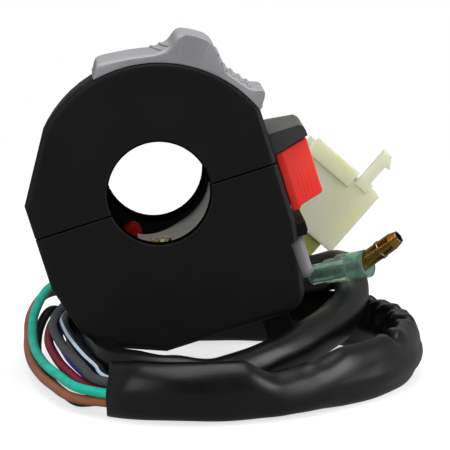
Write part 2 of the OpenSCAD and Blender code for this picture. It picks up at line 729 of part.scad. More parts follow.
module cover_plate() color("#a8a69e") leaned() difference() {
    about_bar(plate_angles[0], plate_angles[1]) plate_rect([plate_r, plate_out], plate_y);
    translate([0, 0, -2 * bar_r]) linear_extrude(height = 2 * bar_r)
        polygon([[2.3, plate_y[1] + 1], [2.3, plate_y[1]], [-7.1, -3], [-20, -3], [-20, plate_y[1] + 1]]);
    outward(plate_screw_angle, plate_screw_y) cylinder(d = plate_screw_d + 2 * seat, h = 2 * plate_out);
}

module cover_plate_screw() color("#c0a75e") leaned() outward(plate_screw_angle, plate_screw_y)
    difference() {
        union() {
            translate([0, 0, plate_head_r - plate_head_t]) cylinder(d = plate_head_d, h = plate_head_t);
            translate([0, 0, plate_head_r - 0.1]) cylinder(d = plate_screw_d, h = plate_screw_len);
        }
        translate([0, 0, plate_head_r - plate_head_t]) cross_recess(plate_head_d * 0.62, 0.4);
    }

module splice_cap() color("#b01822") leaned() translate(cap_at) {
    rod(cap_edge - hair, cap_len, cap_d);
    rotate([-90, 0, 0]) cylinder(r1 = cap_d / 2 - cap_edge, r2 = cap_d / 2, h = cap_edge);
}

// Grommet in the rear wall, its outer face where the sheath starts
module outlet_grommet() color("#1b1b1b") leaned() translate([outlet[0], 0, outlet[1]]) difference() {
    union() {
        rod(cavity_far - outlet_lip_t, cavity_far - 0.02, outlet_d + outlet_rim);
        rod(cavity_far - 0.5, rear_y + 0.5, outlet_d - 0.04);
        rod(rear_y + 0.02, sheath_start[1], outlet_d + 2 * outlet_rim);
    }
    rod(cavity_far - outlet_lip_t - 1, sheath_start[1] + 1, loom_d);
}

// Top of the slider's thumb tab: angle from the middle, and height over the crown
tab_foot = 11;
tab_top = [[-wing_span + 0.3, 1], [-wing_span + 1.5, 0.5 * tab_rise], [-wing_span + 5, 1.3], [-18.4, 1.3],
    [-15.5, 0.3 * tab_rise], [-13, 0.5 * tab_rise], [-9, 0.86 * tab_rise], [-7.4, tab_rise - 0.1],
    [-4, tab_rise], [1.6, tab_rise - 0.2], [3, tab_rise - 1.1], [4.6, 0.55 * tab_rise],
    [7, 0.36 * tab_rise], [tab_foot, 1.3]];
tab_steps = 12;
wing_gap = run + 0.1;
wing_under = [slider_y, (slider_y + near_y + edge_round) / 2, near_y + edge_round];
tab_outline = concat(
    [for (p = tab_top) (crown_r + p[1]) * unit(light_angle + p[0])],
    [for (i = [tab_steps : -1 : 0]) let (a = (tab_foot + wing_span - 0.3) * i / tab_steps - wing_span + 0.3)
        tab_root * unit(light_angle + a)]);
grip_ribs = [[-14.2, 0.42], [-11.8, 0.62], [-9.8, 0.8], [3.6, 0.73], [5.4, 0.5], [7.4, 0.34]];

module light_switch_knob() color("#8d8d90") leaned() {
    about_bar(light_angle - wing_span, light_angle + wing_span) polygon(concat(
        [for (y = wing_under) [crown_edge(y) + wing_gap, y]],
        [[crown_at(slider_far) + wing_gap, slider_far], [wing_r, slider_far],
            [wing_r, slider_y + wing_soft], [wing_r - wing_soft, slider_y]]));
    for (side = [-1, 1]) let (a = light_angle + side * (wing_span + wing_skirt / 2 - 0.5))
        about_bar(a - wing_skirt / 2 - 0.5, a + wing_skirt / 2 + 0.5)
            plate_rect([crown_r + wing_gap, skirt_r + wing_gap], [near_y + edge_round, slider_far - 2]);
    along_bar(slider_y, slider_far) polygon(tab_outline);
    for (p = grip_ribs) rotate([0, -light_angle - p[0], 0]) translate([crown_r + p[1] * tab_rise, 0, 0])
        rod(slider_y + 1, slider_far - 1, 0.7);
    about_bar(light_angle - stem_span, light_angle + stem_span)
        plate_rect([stem_root, tab_root], stem_y);
}

module light_switch_carrier() color("#d8d2c0") leaned() difference() {
    about_bar(light_angle - carrier_span, light_angle + carrier_span)
        plate_rect([carrier_in, carrier_out], [carrier_y, carrier_far]);
    about_bar(light_angle - stem_span - stem_seat, light_angle + stem_span + stem_seat)
        plate_rect([stem_root - seat, carrier_out + 1], [stem_y[0] - seat, stem_y[1] + seat]);
    at_light(0) rod(carrier_y - 1, carrier_y + detent_depth, detent_bore_d);
    about_bar(light_angle - pocket_span, light_angle + pocket_span)
        plate_rect([contact_r - pocket_w / 2, contact_r + pocket_w / 2],
            [carrier_far - pocket_depth, carrier_far + 1]);
}

module light_bridge_contact() color("#b87a4a") leaned() {
    about_bar(light_angle - pocket_span + 0.5, light_angle + pocket_span - 0.5)
        plate_rect([contact_r - bridge_w / 2, contact_r + bridge_w / 2],
            [carrier_far + bridge_proud - bridge_t, carrier_far + bridge_proud]);
    for (a = [-dome_span, dome_span]) at_light(a)
        translate([0, carrier_far + bridge_proud + dome_proud - dome_r, 0]) sphere(dome_r);
}

detent_coil = coil(coil_r, detent_coil_len, detent_turns);
bridge_coil = coil(coil_r, bridge_coil_len, bridge_turns);
return_coil = coil((return_spring_d - return_wire) / 2, return_len, return_turns);
echo(detent_gap = coil_gap(detent_coil, coil_wire), bridge_gap = coil_gap(bridge_coil, coil_wire));
echo(return_gap = coil_gap(return_coil, return_wire), coil_limit = 0.4);

module light_bridge_spring() color("#b9bcc0") leaned() at_light(0)
    translate([0, carrier_far - pocket_depth + coil_wire / 2 + 0.05, 0]) rotate([-90, 0, 0])
    swept(bridge_coil, coil_wire / 2, coil_sides);

module light_detent_ball() color("#c4c7ca") leaned() at_light(0)
    translate([0, carrier_y - ball_proud + ball_d / 2, 0]) sphere(d = ball_d);

module light_detent_spring() color("#b9bcc0") leaned() at_light(0)
    translate([0, carrier_y - ball_proud + ball_d / 2 + detent_coil_from, 0]) rotate([-90, 0, 0])
    swept(detent_coil, coil_wire / 2, coil_sides);

module light_contact_board() color("#7a4a2a") leaned() difference() {
    about_bar(light_angle - light_board_span, light_angle + light_board_span)
        plate_rect(light_board_r, [light_board_y, light_board_far]);
    for (a = light_rivets) at_light(a) rod(light_board_y - 1, light_board_far + 1, rivet_d + 0.04);
    for (a = [-light_screw_span, light_screw_span]) at_light(a)
        rod(light_board_y - 1, light_board_far + 1, board_screw_d + 0.04);
}

// Contact rivet along Z: head below, board from 0 to its thickness, tail above
module rivet() {
    translate([0, 0, -rivet_head_t]) cylinder(d = rivet_head_d, h = rivet_head_t);
    translate([0, 0, -0.1]) cylinder(d = rivet_d, h = board_t + 0.2);
    translate([0, 0, board_t]) cylinder(d = rivet_head_d * 0.9, h = rivet_tail_t);
}

module light_board_rivets() color("#c9b27a") leaned() for (a = light_rivets) at_light(a)
    translate([0, light_board_y, 0]) rotate([-90, 0, 0]) rivet();

module light_board_screws() color("#9a9a98") leaned() for (a = [-light_screw_span, light_screw_span])
    at_light(a) difference() {
        union() {
            rod(light_board_y - board_screw_head_t, light_board_y, board_screw_head_d);
            rod(light_board_y - 0.1, light_board_y + board_screw_len, board_screw_d);
        }
        translate([0, light_board_y - board_screw_head_t, 0]) rotate([-90, 0, 0])
            cross_recess(board_screw_head_d * 0.6, 0.5);
    }

module kill_switch_knob() color("#e8302c") leaned() {
    along_bar(knob_y, knob_far) polygon([
        [knob_in, knob_low], [knob_in + knob_foot, knob_low], [knob_in + knob_foot + 0.7, knob_low + 0.8],
        [knob_out - 0.5, knob_low + 2.1], [knob_out, knob_low + 2.6], [knob_out, knob_high + knob_shear - 0.4],
        [knob_out - 0.5, knob_high + knob_shear], [knob_in, knob_high]]);
    block([kill_stem_root, knob_in + 1], kill_stem_y, kill_stem_v);
}

module kill_switch_carrier() color("#d8d2c0") leaned() difference() {
    block(kill_carrier_u, kill_carrier_y, kill_carrier_v);
    block([kill_stem_root - seat, kill_carrier_u[1] + 1], [kill_stem_y[0] - seat, kill_stem_y[1] + seat],
        [kill_stem_v[0] - seat, kill_stem_v[1] + seat]);
    translate([0, kill_ball_y, kill_mid_v])
        crossrod(kill_carrier_u[1] - detent_depth, kill_carrier_u[1] + 1, detent_bore_d);
    block([kill_carrier_u[0] - 1, kill_carrier_u[0] + pocket_depth],
        [kill_bridge_y[0] - 0.2, kill_bridge_y[1] + 0.2], [kill_mid_v - pocket_w / 2, kill_mid_v + pocket_w / 2]);
}

module kill_bridge_contact() color("#b87a4a") leaned() {
    block([kill_carrier_u[0] - bridge_proud, kill_carrier_u[0] - bridge_proud + bridge_t], kill_bridge_y,
        [kill_mid_v - bridge_w / 2, kill_mid_v + bridge_w / 2]);
    for (y = [-kill_dome, kill_dome]) translate(
        [kill_carrier_u[0] - bridge_proud - dome_proud + dome_r, kill_bridge_mid + y, kill_mid_v]) sphere(dome_r);
}

module kill_bridge_spring() color("#b9bcc0") leaned()
    translate([kill_carrier_u[0] + pocket_depth - coil_wire / 2 - 0.05, kill_bridge_mid, kill_mid_v])
    rotate([0, -90, 0]) swept(bridge_coil, coil_wire / 2, coil_sides);

kill_ball_u = kill_carrier_u[1] + ball_proud - ball_d / 2;

module kill_detent_ball() color("#c4c7ca") leaned()
    translate([kill_ball_u, kill_ball_y, kill_mid_v]) sphere(d = ball_d);

module kill_detent_spring() color("#b9bcc0") leaned()
    translate([kill_ball_u - detent_coil_from, kill_ball_y, kill_mid_v])
    rotate([0, -90, 0]) swept(detent_coil, coil_wire / 2, coil_sides);

kill_rivets = [for (y = [-kill_dome, kill_dome], v = [0, -knob_travel - 2.4])
    [kill_bridge_mid + y, kill_mid_v + v]];

module kill_contact_board() color("#7a4a2a") leaned() difference() {
    block([kill_board_in, kill_board_u], kill_board_y, kill_board_v);
    for (p = kill_rivets) translate([0, p[0], p[1]]) crossrod(kill_board_in - 1, kill_board_u + 1, rivet_d + 0.04);
}

module kill_board_rivets() color("#c9b27a") leaned() for (p = kill_rivets)
    translate([kill_board_u, p[0], p[1]]) rotate([0, -90, 0]) rivet();

module start_button() color("#77777b") leaned() difference() {
    union() {
        translate([0, button_mid, button_v]) {
            across(button_in, button_out - 0.7) soft_rect(button_len, button_h, button_corner);
            across(button_out - 0.8, button_out) soft_rect(button_len - 1.2, button_h - 1.2, button_corner);
            across(flange_in, flange_out)
                soft_rect(button_len + 2 * flange_rim, button_h + 2 * flange_rim, button_corner);
        }
        translate([0, pole_y, button_v]) crossrod(start_bridge_u, button_in + 0.5, shoulder_d);
        translate([0, pole_y, button_v]) crossrod(pole_in, button_in + 0.5, pole_d);
    }
    translate([0, return_y, button_v]) crossrod(button_in - 1, button_in + return_pocket, return_spring_d + 0.6);
}

module start_bridge_contact() color("#b87a4a") leaned() difference() {
    union() {
        block([start_bridge_u - bridge_t, start_bridge_u], [pole_y - 2.4, pole_y + 2.4],
            [button_v - start_dome - 1.2, button_v + start_dome + 1.2]);
        for (v = [-start_dome, start_dome]) translate([0, pole_y, button_v + v])
            crossrod(start_bridge_u - bridge_t - dome_proud, start_bridge_u - 0.2, 2 * dome_r);
    }
    translate([0, pole_y, button_v]) crossrod(pole_in - 1, button_in, pole_d + 0.06);
}

module start_retainer() color("#9a9a98") leaned() translate([0, pole_y, button_v]) difference() {
    crossrod(start_bridge_u - bridge_t - retainer_t, start_bridge_u - bridge_t - 0.02, retainer_d);
    crossrod(pole_in - 1, button_in, pole_d + 0.04);
}

module start_return_spring() color("#b9bcc0") leaned() translate([return_from, return_y, button_v])
    rotate([0, 90, 0]) swept(return_coil, return_wire / 2, coil_sides);

module start_contact_board() color("#7a4a2a") leaned() difference() {
    block([start_board_in, start_board_u], start_board_y, start_board_v);
    translate([0, pole_y, button_v]) crossrod(start_board_in - 1, start_board_u + 1, pole_d + 2 * run);
    for (v = [-start_dome, start_dome]) translate([0, pole_y, button_v + v])
        crossrod(start_board_in - 1, start_board_u + 1, rivet_d + 0.04);
}

module start_board_rivets() color("#c9b27a") leaned() for (v = [-start_dome, start_dome])
    translate([start_board_u, pole_y, button_v + v]) rotate([0, -90, 0]) rivet();

module harness_sheath() color("#26262a") swept(smooth(sheath_route, 2), sheath_d / 2, sheath_sides);
module wire_green() color("#1fbfa6") swept(smooth(green_route, 2), wire_d / 2, cord_sides);
module wire_brown() color("#a5674b") swept(smooth(brown_route, 2), wire_d / 2, cord_sides);
module wire_black() color("#1a1a1c") swept(smooth(black_route, 2), wire_d / 2, cord_sides);
module wire_red() color("#6e1529") swept(smooth(red_route, 2), wire_d / 2, cord_sides);
module wire_blue() color("#1d3fbf") swept(smooth(blue_route, 2), wire_d / 2, cord_sides);
module wire_grey() color("#5a5a5a") swept(smooth(grey_route, 2), wire_d / 2, cord_sides);
module wire_light_blue() color("#b8cde0") swept(smooth(light_blue_route, 2), wire_d / 2, cord_sides);

// Connector frame: x along the mating axis, y through the thickness, z across the width
module connector_frame() translate(connector_at) rotate([0, -connector_turn, 0]) children();

module cavities() for (y = [-cavity_row, cavity_row], k = [-1, 0, 1])
    translate([0, y, k * cavity_pitch]) children();

front_x = connector_l / 2;
rear_x = -connector_l / 2;
latch_z = 5.2 - connector_w / 2;
latch_y = [-connector_t / 2 - 0.3, latch_t - connector_t / 2];
rib_z = [connector_w / 2 - rib_l, connector_w / 2 - 0.5];

module connector_housing() color("#d6dcb0") connector_frame() difference() {
    union() {
        across(rear_x, front_x) soft_rect(connector_t, connector_w, connector_edge);
        block([front_x - 3, front_x + rib_proud], [-connector_t / 2 - rib_h, latch_y[1]], rib_z);
        block([front_x - 1.4, front_x + 1.1], latch_y, [latch_z - 2.2, rib_z[0] - 1]);
        along_bar(latch_y[0], latch_y[1]) polygon([
            [front_x - 1.4, latch_z + latch_w / 2], [front_x + latch_l, latch_z + latch_w / 2],
            [front_x + latch_l, latch_z - latch_w / 2 + 0.5],
            [front_x + latch_l - hook_l, latch_z - latch_w / 2 - hook_h],
            [front_x + latch_l - hook_l - 0.3, latch_z - latch_w / 2],
            [front_x - 1.4, latch_z - latch_w / 2]]);
    }
    cavities() translate([front_x - cavity_depth, -cavity_w / 2, -cavity_w / 2])
        cube([cavity_depth + 1, cavity_w, cavity_w]);
    block([front_x - 1, front_x + 3], [-connector_t / 2 - 1, latch_y[1]], [rib_z[0] - 1, rib_z[0]]);
}

module connector_retainer() color("#9a9c46") connector_frame()
    across(rear_x - retainer_l, rear_x - 0.02) soft_rect(retainer_h, retainer_w, connector_edge);

module connector_terminals() color("#c9a23a") connector_frame() cavities() difference() {
    translate([front_x - cavity_depth + 0.02, -terminal_w / 2, -terminal_w / 2])
        cube([terminal_l, terminal_w, terminal_w]);
    translate([front_x - cavity_depth + 3, 0, 0]) crossrod(0, terminal_l, terminal_w * 0.6);
}

// Bullet terminal's outside, grown by a clearance
module bullet_round(grow) {
    translate([0, 0, -grow]) cylinder(r = bullet_r + grow, h = bullet_l - 2 + grow);
    translate([0, 0, bullet_l - 2]) cylinder(r1 = bullet_r + grow, r2 = bullet_r - 0.5 + grow, h = 2 + grow);
}

module bullet_sleeve() color("#7fcfae") difference() {
    facing(sleeve_from, sleeve_to) difference() {
        union() {
            cylinder(r = 2.3, h = 4.2);
            translate([0, 0, 4]) cylinder(r = 2.75, h = 3.8);
            translate([0, 0, 7.6]) cylinder(r = 3.3, h = 2.2);
            translate([0, 0, 9.6]) cylinder(r = 3.2, h = sleeve_l - 9.6);
        }
        translate([0, 0, -1]) cylinder(r = sleeve_bore_r, h = sleeve_l + 2);
        translate([0, 0, 9.8]) cylinder(r = 2.7, h = sleeve_l);
    }
    facing(bullet_from, bullet_to) bullet_round(0.3);
}

module bullet_terminal() color("#b8963a") facing(bullet_from, bullet_to) difference() {
    union() {
        bullet_round(0);
        translate([0, 0, 5.2]) cylinder(r = bullet_r + 0.2, h = 0.8);
    }
    translate([0, 0, bullet_l - 5]) cylinder(r = bullet_r - 0.8, h = 6);
    for (a = [0 : 30 : 330]) rotate([0, 0, a]) translate([bullet_r, 0, 0.8]) cylinder(r = 0.2, h = 3.4);
}

upper_housing();
lower_housing();
housing_screws();
screw_inserts();
cover_plate();
cover_plate_screw();
splice_cap();
outlet_grommet();
light_switch_knob();
light_switch_carrier();
light_bridge_contact();
light_bridge_spring();
light_detent_ball();
light_detent_spring();
light_contact_board();
light_board_rivets();
light_board_screws();
kill_switch_knob();
kill_switch_carrier();
kill_bridge_contact();
kill_bridge_spring();
kill_detent_ball();
kill_detent_spring();
kill_contact_board();
kill_board_rivets();
start_button();
start_bridge_contact();
start_retainer();
start_return_spring();
start_contact_board();
start_board_rivets();
harness_sheath();
wire_green();
wire_brown();
wire_black();
wire_red();
wire_blue();
wire_grey();
wire_light_blue();
connector_housing();
connector_retainer();
connector_terminals();
bullet_sleeve();
bullet_terminal();
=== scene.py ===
import math

import bpy
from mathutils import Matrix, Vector


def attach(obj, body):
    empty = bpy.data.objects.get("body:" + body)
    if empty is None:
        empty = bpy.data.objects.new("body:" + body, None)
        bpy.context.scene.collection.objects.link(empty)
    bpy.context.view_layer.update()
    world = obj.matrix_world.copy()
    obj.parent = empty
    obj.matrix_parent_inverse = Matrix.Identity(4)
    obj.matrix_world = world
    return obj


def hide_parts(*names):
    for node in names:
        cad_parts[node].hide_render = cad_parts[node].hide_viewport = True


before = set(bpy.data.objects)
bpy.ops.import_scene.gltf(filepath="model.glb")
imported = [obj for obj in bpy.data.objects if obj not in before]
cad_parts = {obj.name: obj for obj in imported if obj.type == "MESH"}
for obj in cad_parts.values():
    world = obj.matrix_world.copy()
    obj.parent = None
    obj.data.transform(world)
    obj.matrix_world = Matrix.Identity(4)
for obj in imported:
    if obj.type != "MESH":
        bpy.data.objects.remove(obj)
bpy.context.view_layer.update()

scene = bpy.context.scene
scene.view_settings.view_transform = "Standard"
MM = 0.001
FLOOR_Z = -44.0 * MM

# Camera, fitted to the photo
CAMERA_LENS = 254.2
CAMERA_AT = (-20.5 * MM, -699.7 * MM, 98.9 * MM)
CAMERA_TILT = 8.86
CAMERA_TURN = -2.93
cam_data = bpy.data.cameras.new("camera")
cam_data.sensor_width = 36.0
cam_data.lens = CAMERA_LENS
cam_data.clip_start = 0.01
cam_data.clip_end = 30.0
camera = bpy.data.objects.new("camera", cam_data)
camera.location = CAMERA_AT
camera.rotation_euler = (math.radians(90 - CAMERA_TILT), 0.0, math.radians(CAMERA_TURN))
scene.collection.objects.link(camera)
scene.camera = camera

# Cord routes, in mm
SHEATH = [
    (10, 18, -20.5), (10.5, 24.5, -20.5), (13.5, 31, -21.5), (19.5, 36, -24.5), (27.5, 38, -27.5),
    (36.5, 35, -28), (42.5, 30, -25.8), (45, 22.5, -25.5), (45, 14, -29), (42.5, 4, -30.5),
    (38, -6, -32), (32, -16, -33.5), (23.5, -26, -36), (13, -35.5, -38.5), (3.5, -38.5, -39),
    (-5.5, -35.5, -39), (-10.5, -29, -39), (-12.5, -21, -39), (-14, -11, -39), (-15.5, 2, -39),
    (-16.5, 14, -39), (-14.5, 25, -38.5), (-8, 33, -38.5), (2, 36.5, -38.5), (15, 37, -38.5),
    (28, 37, -38.5), (40, 34, -38.5), (49.5, 26, -38.5), (54.5, 14, -38.5), (56, 1, -38.5),
    (54, -12, -38.5), (48, -25, -38.5), (39, -36, -38.5), (28, -45, -38.5), (16, -51, -38.5),
    (5, -52, -38.5), (-5, -49, -38.5), (-12, -44, -38.5)]
WIRES = {
    "green": [
        (-13.4, -45.9, -38.5), (-17.5, -41.5, -38.5), (-19.9, -36, -38.4), (-22, -28, -38.4),
        (-24.2, -20, -38.3), (-26, -11, -38), (-27.2, -3, -37.4), (-27.8, 5, -36.5), (-27.8, 12, -34),
        (-26.9, 18, -31.8), (-24.9, 25, -29.4), (-22, 31.7, -28.6), (-17, 38.5, -28.5),
        (-8.5, 43.5, -27.8), (2, 45.5, -27.5), (12, 46, -27), (21, 47.5, -26), (28, 49, -24),
        (32.2, 49.5, -19.9)],
    "brown": [
        (-12.7, -45, -40.7), (-17.6, -41.1, -40.9), (-20.8, -36, -40.8), (-23, -28, -40.8),
        (-25.2, -20, -40.7), (-27, -11, -40.4), (-28.2, -3, -39.8), (-28.8, 5, -38.9), (-28.8, 12, -37.3),
        (-28.6, 18, -34.4), (-26.6, 25, -31.6), (-23.6, 31.9, -30.8), (-17, 38.5, -31), (-8.5, 43.5, -30.3),
        (2, 45.5, -30), (13, 46, -29.8), (23, 47.5, -29), (31, 49, -27), (35.4, 49.5, -22.7)],
    "black": [
        (-11.3, -43, -40.7), (-15.3, -40, -41.7), (-18.1, -36, -42.5), (-20.2, -28, -42.8),
        (-22.2, -20, -42.9), (-23.8, -11, -42.9), (-25.2, -3, -41.9), (-26.6, 5, -41), (-26.9, 12, -39),
        (-26.1, 18, -36), (-23.8, 25, -33.8), (-19.6, 31, -35.3), (-14.4, 35.4, -34.4), (-7, 36.5, -32),
        (2.5, 34.8, -30.4), (12, 31, -29), (21, 26.5, -27), (28, 21, -26), (33, 16, -25), (36, 13, -24),
        (40, 10.3, -22.7), (43, 8.3, -21.7), (46, 6.3, -20.6)],
    "red": [
        (-12, -44, -38.5), (-15.2, -40.5, -38.5), (-17.2, -36, -38.4), (-19.3, -28, -38.2),
        (-21.4, -20, -37.7), (-23, -11, -37), (-24.1, -3, -36.2), (-24.1, 5, -35.4), (-23.4, 12, -34.6),
        (-22.3, 18, -34.2), (-20.4, 25, -33.6), (-17.9, 30.4, -33.2), (-14.5, 35.8, -31.9),
        (-7.5, 40.6, -30.3), (2, 42.5, -30), (13, 43, -29.8), (23, 44, -29), (31, 44.5, -27),
        (35.4, 44.5, -22.7)],
    "blue": [
        (-10.6, -42.1, -38.5), (-13, -39.3, -38.3), (-14.7, -36, -38), (-16.9, -28, -37.4),
        (-19.1, -20, -36.7), (-20.7, -11, -35.9), (-21.9, -3, -35), (-21.8, 5, -34.6), (-21.1, 12, -34.4),
        (-20, 18, -34), (-18, 25, -33.2), (-15.9, 30, -31.6), (-13.3, 35.4, -29.4), (-7.4, 40.4, -28),
        (2, 42.5, -27.5), (12, 43, -27), (21, 44, -26), (28, 44.5, -24), (32.2, 44.5, -19.9)],
    "grey": [
        (-12.7, -45, -36.3), (-15.2, -40.9, -36.1), (-16.1, -36, -35.9), (-18, -28, -35.4),
        (-20.4, -20, -34.5), (-22, -11, -33.8), (-23.1, -3, -32.8), (-22.9, 5, -32.3), (-22, 12, -32),
        (-20.9, 18, -31.8), (-19.1, 25, -30.8), (-17.5, 31, -28.6), (-15.2, 37.4, -26.7),
        (-8.5, 43, -25.5), (2, 45.5, -25), (11, 46, -24.5), (19, 47.5, -23.3), (25.5, 49, -21),
        (28.9, 49.5, -17)],
    "light_blue": [
        (-11.3, -43, -36.3), (-12.8, -39.7, -35.9), (-13.4, -36, -35.4), (-15.7, -28, -34.8),
        (-18, -20, -33.6), (-19.6, -11, -32.9), (-20.7, -3, -31.9), (-20.6, 5, -32.3), (-19.7, 12, -32.4),
        (-18.6, 18, -32.2), (-16.7, 25, -30.9), (-15.1, 29.5, -29.1), (-12.9, 35, -27),
        (-7.2, 40.2, -25.5), (2, 42.5, -25), (11, 43, -24.5), (19, 44, -23.3), (25.5, 44.5, -21),
        (28.9, 44.5, -17)],
}


def dense(route, step, passes):
    """A smooth path through a route, in mm: points, and each point's place in the route."""
    points = [Vector(p) for p in route]
    ends = [2 * points[0] - points[1]] + points + [2 * points[-1] - points[-2]]
    path, place = [], []
    parts = 12
    for i in range(len(points) - 1):
        a, b, c, d = ends[i:i + 4]
        for k in range(parts):
            t = k / parts
            path.append(0.5 * (2 * b + (c - a) * t + (2 * a - 5 * b + 4 * c - d) * t ** 2
                               + (3 * b - a - 3 * c + d) * t ** 3))
            place.append(i + t)
    path.append(points[-1])
    place.append(float(len(points) - 1))
    for _ in range(passes):
        path = [path[0]] + [
            0.25 * path[i - 1] + 0.5 * path[i] + 0.25 * path[i + 1] for i in range(1, len(path) - 1)
        ] + [path[-1]]
    run = [0.0]
    for i in range(1, len(path)):
        run.append(run[-1] + (path[i] - path[i - 1]).length)
    count = max(2, round(run[-1] / step))
    out, out_place, j = [], [], 0
    for n in range(count + 1):
        s = run[-1] * n / count
        while j < len(run) - 2 and run[j + 1] < s:
            j += 1
        f = (s - run[j]) / max(run[j + 1] - run[j], 1e-9)
        out.append(path[j].lerp(path[j + 1], f))
        out_place.append(place[j] + (place[j + 1] - place[j]) * f)
    return out, out_place, run[-1]


def frames(path):
    """Tangent, right-hand side and up at each point of a path that never runs straight up."""
    result = []
    for i in range(len(path)):
        t = (path[min(i + 1, len(path) - 1)] - path[max(i - 1, 0)]).normalized()
        side = t.cross(Vector((0, 0, 1))).normalized()
        result.append((t, side, side.cross(t)))
    return result


def skin(name, rings, v_at):
    """A smooth closed mesh through rings of points in mm, with a UV of turn and length."""
    sides = len(rings[0])
    verts = [p * MM for ring in rings for p in ring]
    faces, uvs = [], []
    for i in range(len(rings) - 1):
        for k in range(sides):
            n = (k + 1) % sides
            faces.append((i * sides + k, i * sides + n, (i + 1) * sides + n, (i + 1) * sides + k))
            uvs.append(((k / sides, v_at[i]), ((k + 1) / sides, v_at[i]),
                        ((k + 1) / sides, v_at[i + 1]), (k / sides, v_at[i + 1])))
    for i in (0, len(rings) - 1):
        order = range(sides) if i else range(sides - 1, -1, -1)
        faces.append(tuple(i * sides + k for k in order))
        uvs.append(tuple((0.5, v_at[i]) for _ in range(sides)))
    mesh = bpy.data.meshes.new(name)
    mesh.from_pydata([tuple(v) for v in verts], [], faces)
    layer = mesh.uv_layers.new(name="turn_length")
    loop = 0
    for face in uvs:
        for uv in face:
            layer.data[loop].uv = uv
            loop += 1
    mesh.polygons.foreach_set("use_smooth", [True] * len(mesh.polygons))
    mesh.update()
    obj = bpy.data.objects.new(name, mesh)
    scene.collection.objects.link(obj)
    return obj


def between(table, x):
    """Smooth values out of rows of (place, values...)."""
    if x <= table[0][0]:
        return table[0][1:]
    for a, b in zip(table, table[1:]):
        if x <= b[0]:
            f = (x - a[0]) / (b[0] - a[0])
            f = f * f * (3 - 2 * f)
            return tuple(p + (q - p) * f for p, q in zip(a[1:], b[1:]))
    return table[-1][1:]


# Sheath
# Half width, half height and lift of the sheath's section along its route
SECTION = [
    (0, 4.45, 4.5, 0.0), (5, 4.2, 4.6, 0.0), (8, 3.8, 4.6, -0.2), (9.5, 3.8, 5.2, -0.7), (11, 3.8, 5.0, -0.5),
    (12.2, 4.0, 4.6, 0.0), (13, 4.3, 4.8, 0.5), (14.5, 4.0, 5.9, 1.2), (16, 3.9, 6.1, 1.4),
    (20, 3.9, 6.1, 1.2), (22, 3.7, 6.0, 0.9), (25, 3.4, 6.2, 0.7), (27, 3.3, 6.5, 0.9),
    (30.5, 3.3, 6.5, 0.9), (32, 3.7, 6.5, 0.9), (32.7, 4.1, 5.2, 0.2), (33, 4.2, 4.9, -0.1),
    (33.45, 4.3, 4.9, -0.4), (34, 4.4, 6.3, 1.0), (35, 4.5, 6.3, 1.1), (36, 4.5, 6.2, 1.0),
    (37, 4.5, 5.9, 0.4)]
# Folds pressed in, the deep ones on the right-hand curl: place, width and depth in mm, turn in degrees
FOLDS = [
    (27.2, 2.4, 1.6, 55), (28.2, 2.6, 2.8, 55), (29.2, 2.6, 3.2, 60), (30.6, 2.8, 3.0, 62),
    (22.3, 3.0, 0.9, 40), (21.2, 3.0, 0.8, 30), (14.2, 3.4, 0.8, 30), (15.6, 3.4, 0.7, 40),
    (6.4, 3.2, 0.7, 30), (2.4, 3.0, 0.7, 30)]
# A fold's slant in mm, the powers of its fall round the skin and along it, and the swell beside it:
# its share of the depth, and its place and width in widths of the fold
FOLD_SLANT = 1.6
FOLD_ROUND = 1.5
FOLD_SHARP = 1.4
FOLD_SWELL = 0.32
FOLD_SWELL_AT = 1.5
FOLD_SWELL_WIDTH = 0.6
# Wires under the skin and its slack, as waves: height in mm, waves in a turn, turn per mm, start
WIRE_WAVES = [(0.10, 3, 0.055, 0.0), (0.06, 5, -0.04, 1.3)]
SLACK_WAVES = [(0.09, 2, 0.31, 0.0), (0.07, -1, 0.17, 0.6)]
# Lengths in mm at the start and at the end over which these waves grow, and their share at the end
TIGHT_START = 20.0
TIGHT_END = 12.0
TIGHT_LEAST = 0.25
SHEATH_SIDES = 40
SHEATH_STEP = 1.0
SHEATH_PASSES = 10
WALL = 0.75
# The skin's least and greatest distance from the sheath's middle line
NEAREST = 3.9
FURTHEST = 7.5
# Depth of the open end, the length over which it turns, its slope above and below, and its rounded lip
MOUTH = 9.0
CUT_TURN = 10.0
CUT_SLOPE = (0.17, 0.06)
LIP_IN = (0.2, 0.6)
LIP_OUT = 0.18
# Least height of the skin over the floor
FLOOR_GAP = 0.05

sheath_path, sheath_place, sheath_len = dense(SHEATH, SHEATH_STEP, SHEATH_PASSES)
sheath_frames = frames(sheath_path)
sheath_step = sheath_len / (len(sheath_path) - 1)


def fold_place(at):
    """Length along the sheath of a place in its route."""
    best = min(range(len(sheath_place)), key=lambda i: abs(sheath_place[i] - at))
    return best * sheath_step


FOLD_S = [(fold_place(at), width, depth, math.radians(turn)) for at, width, depth, turn in FOLDS]


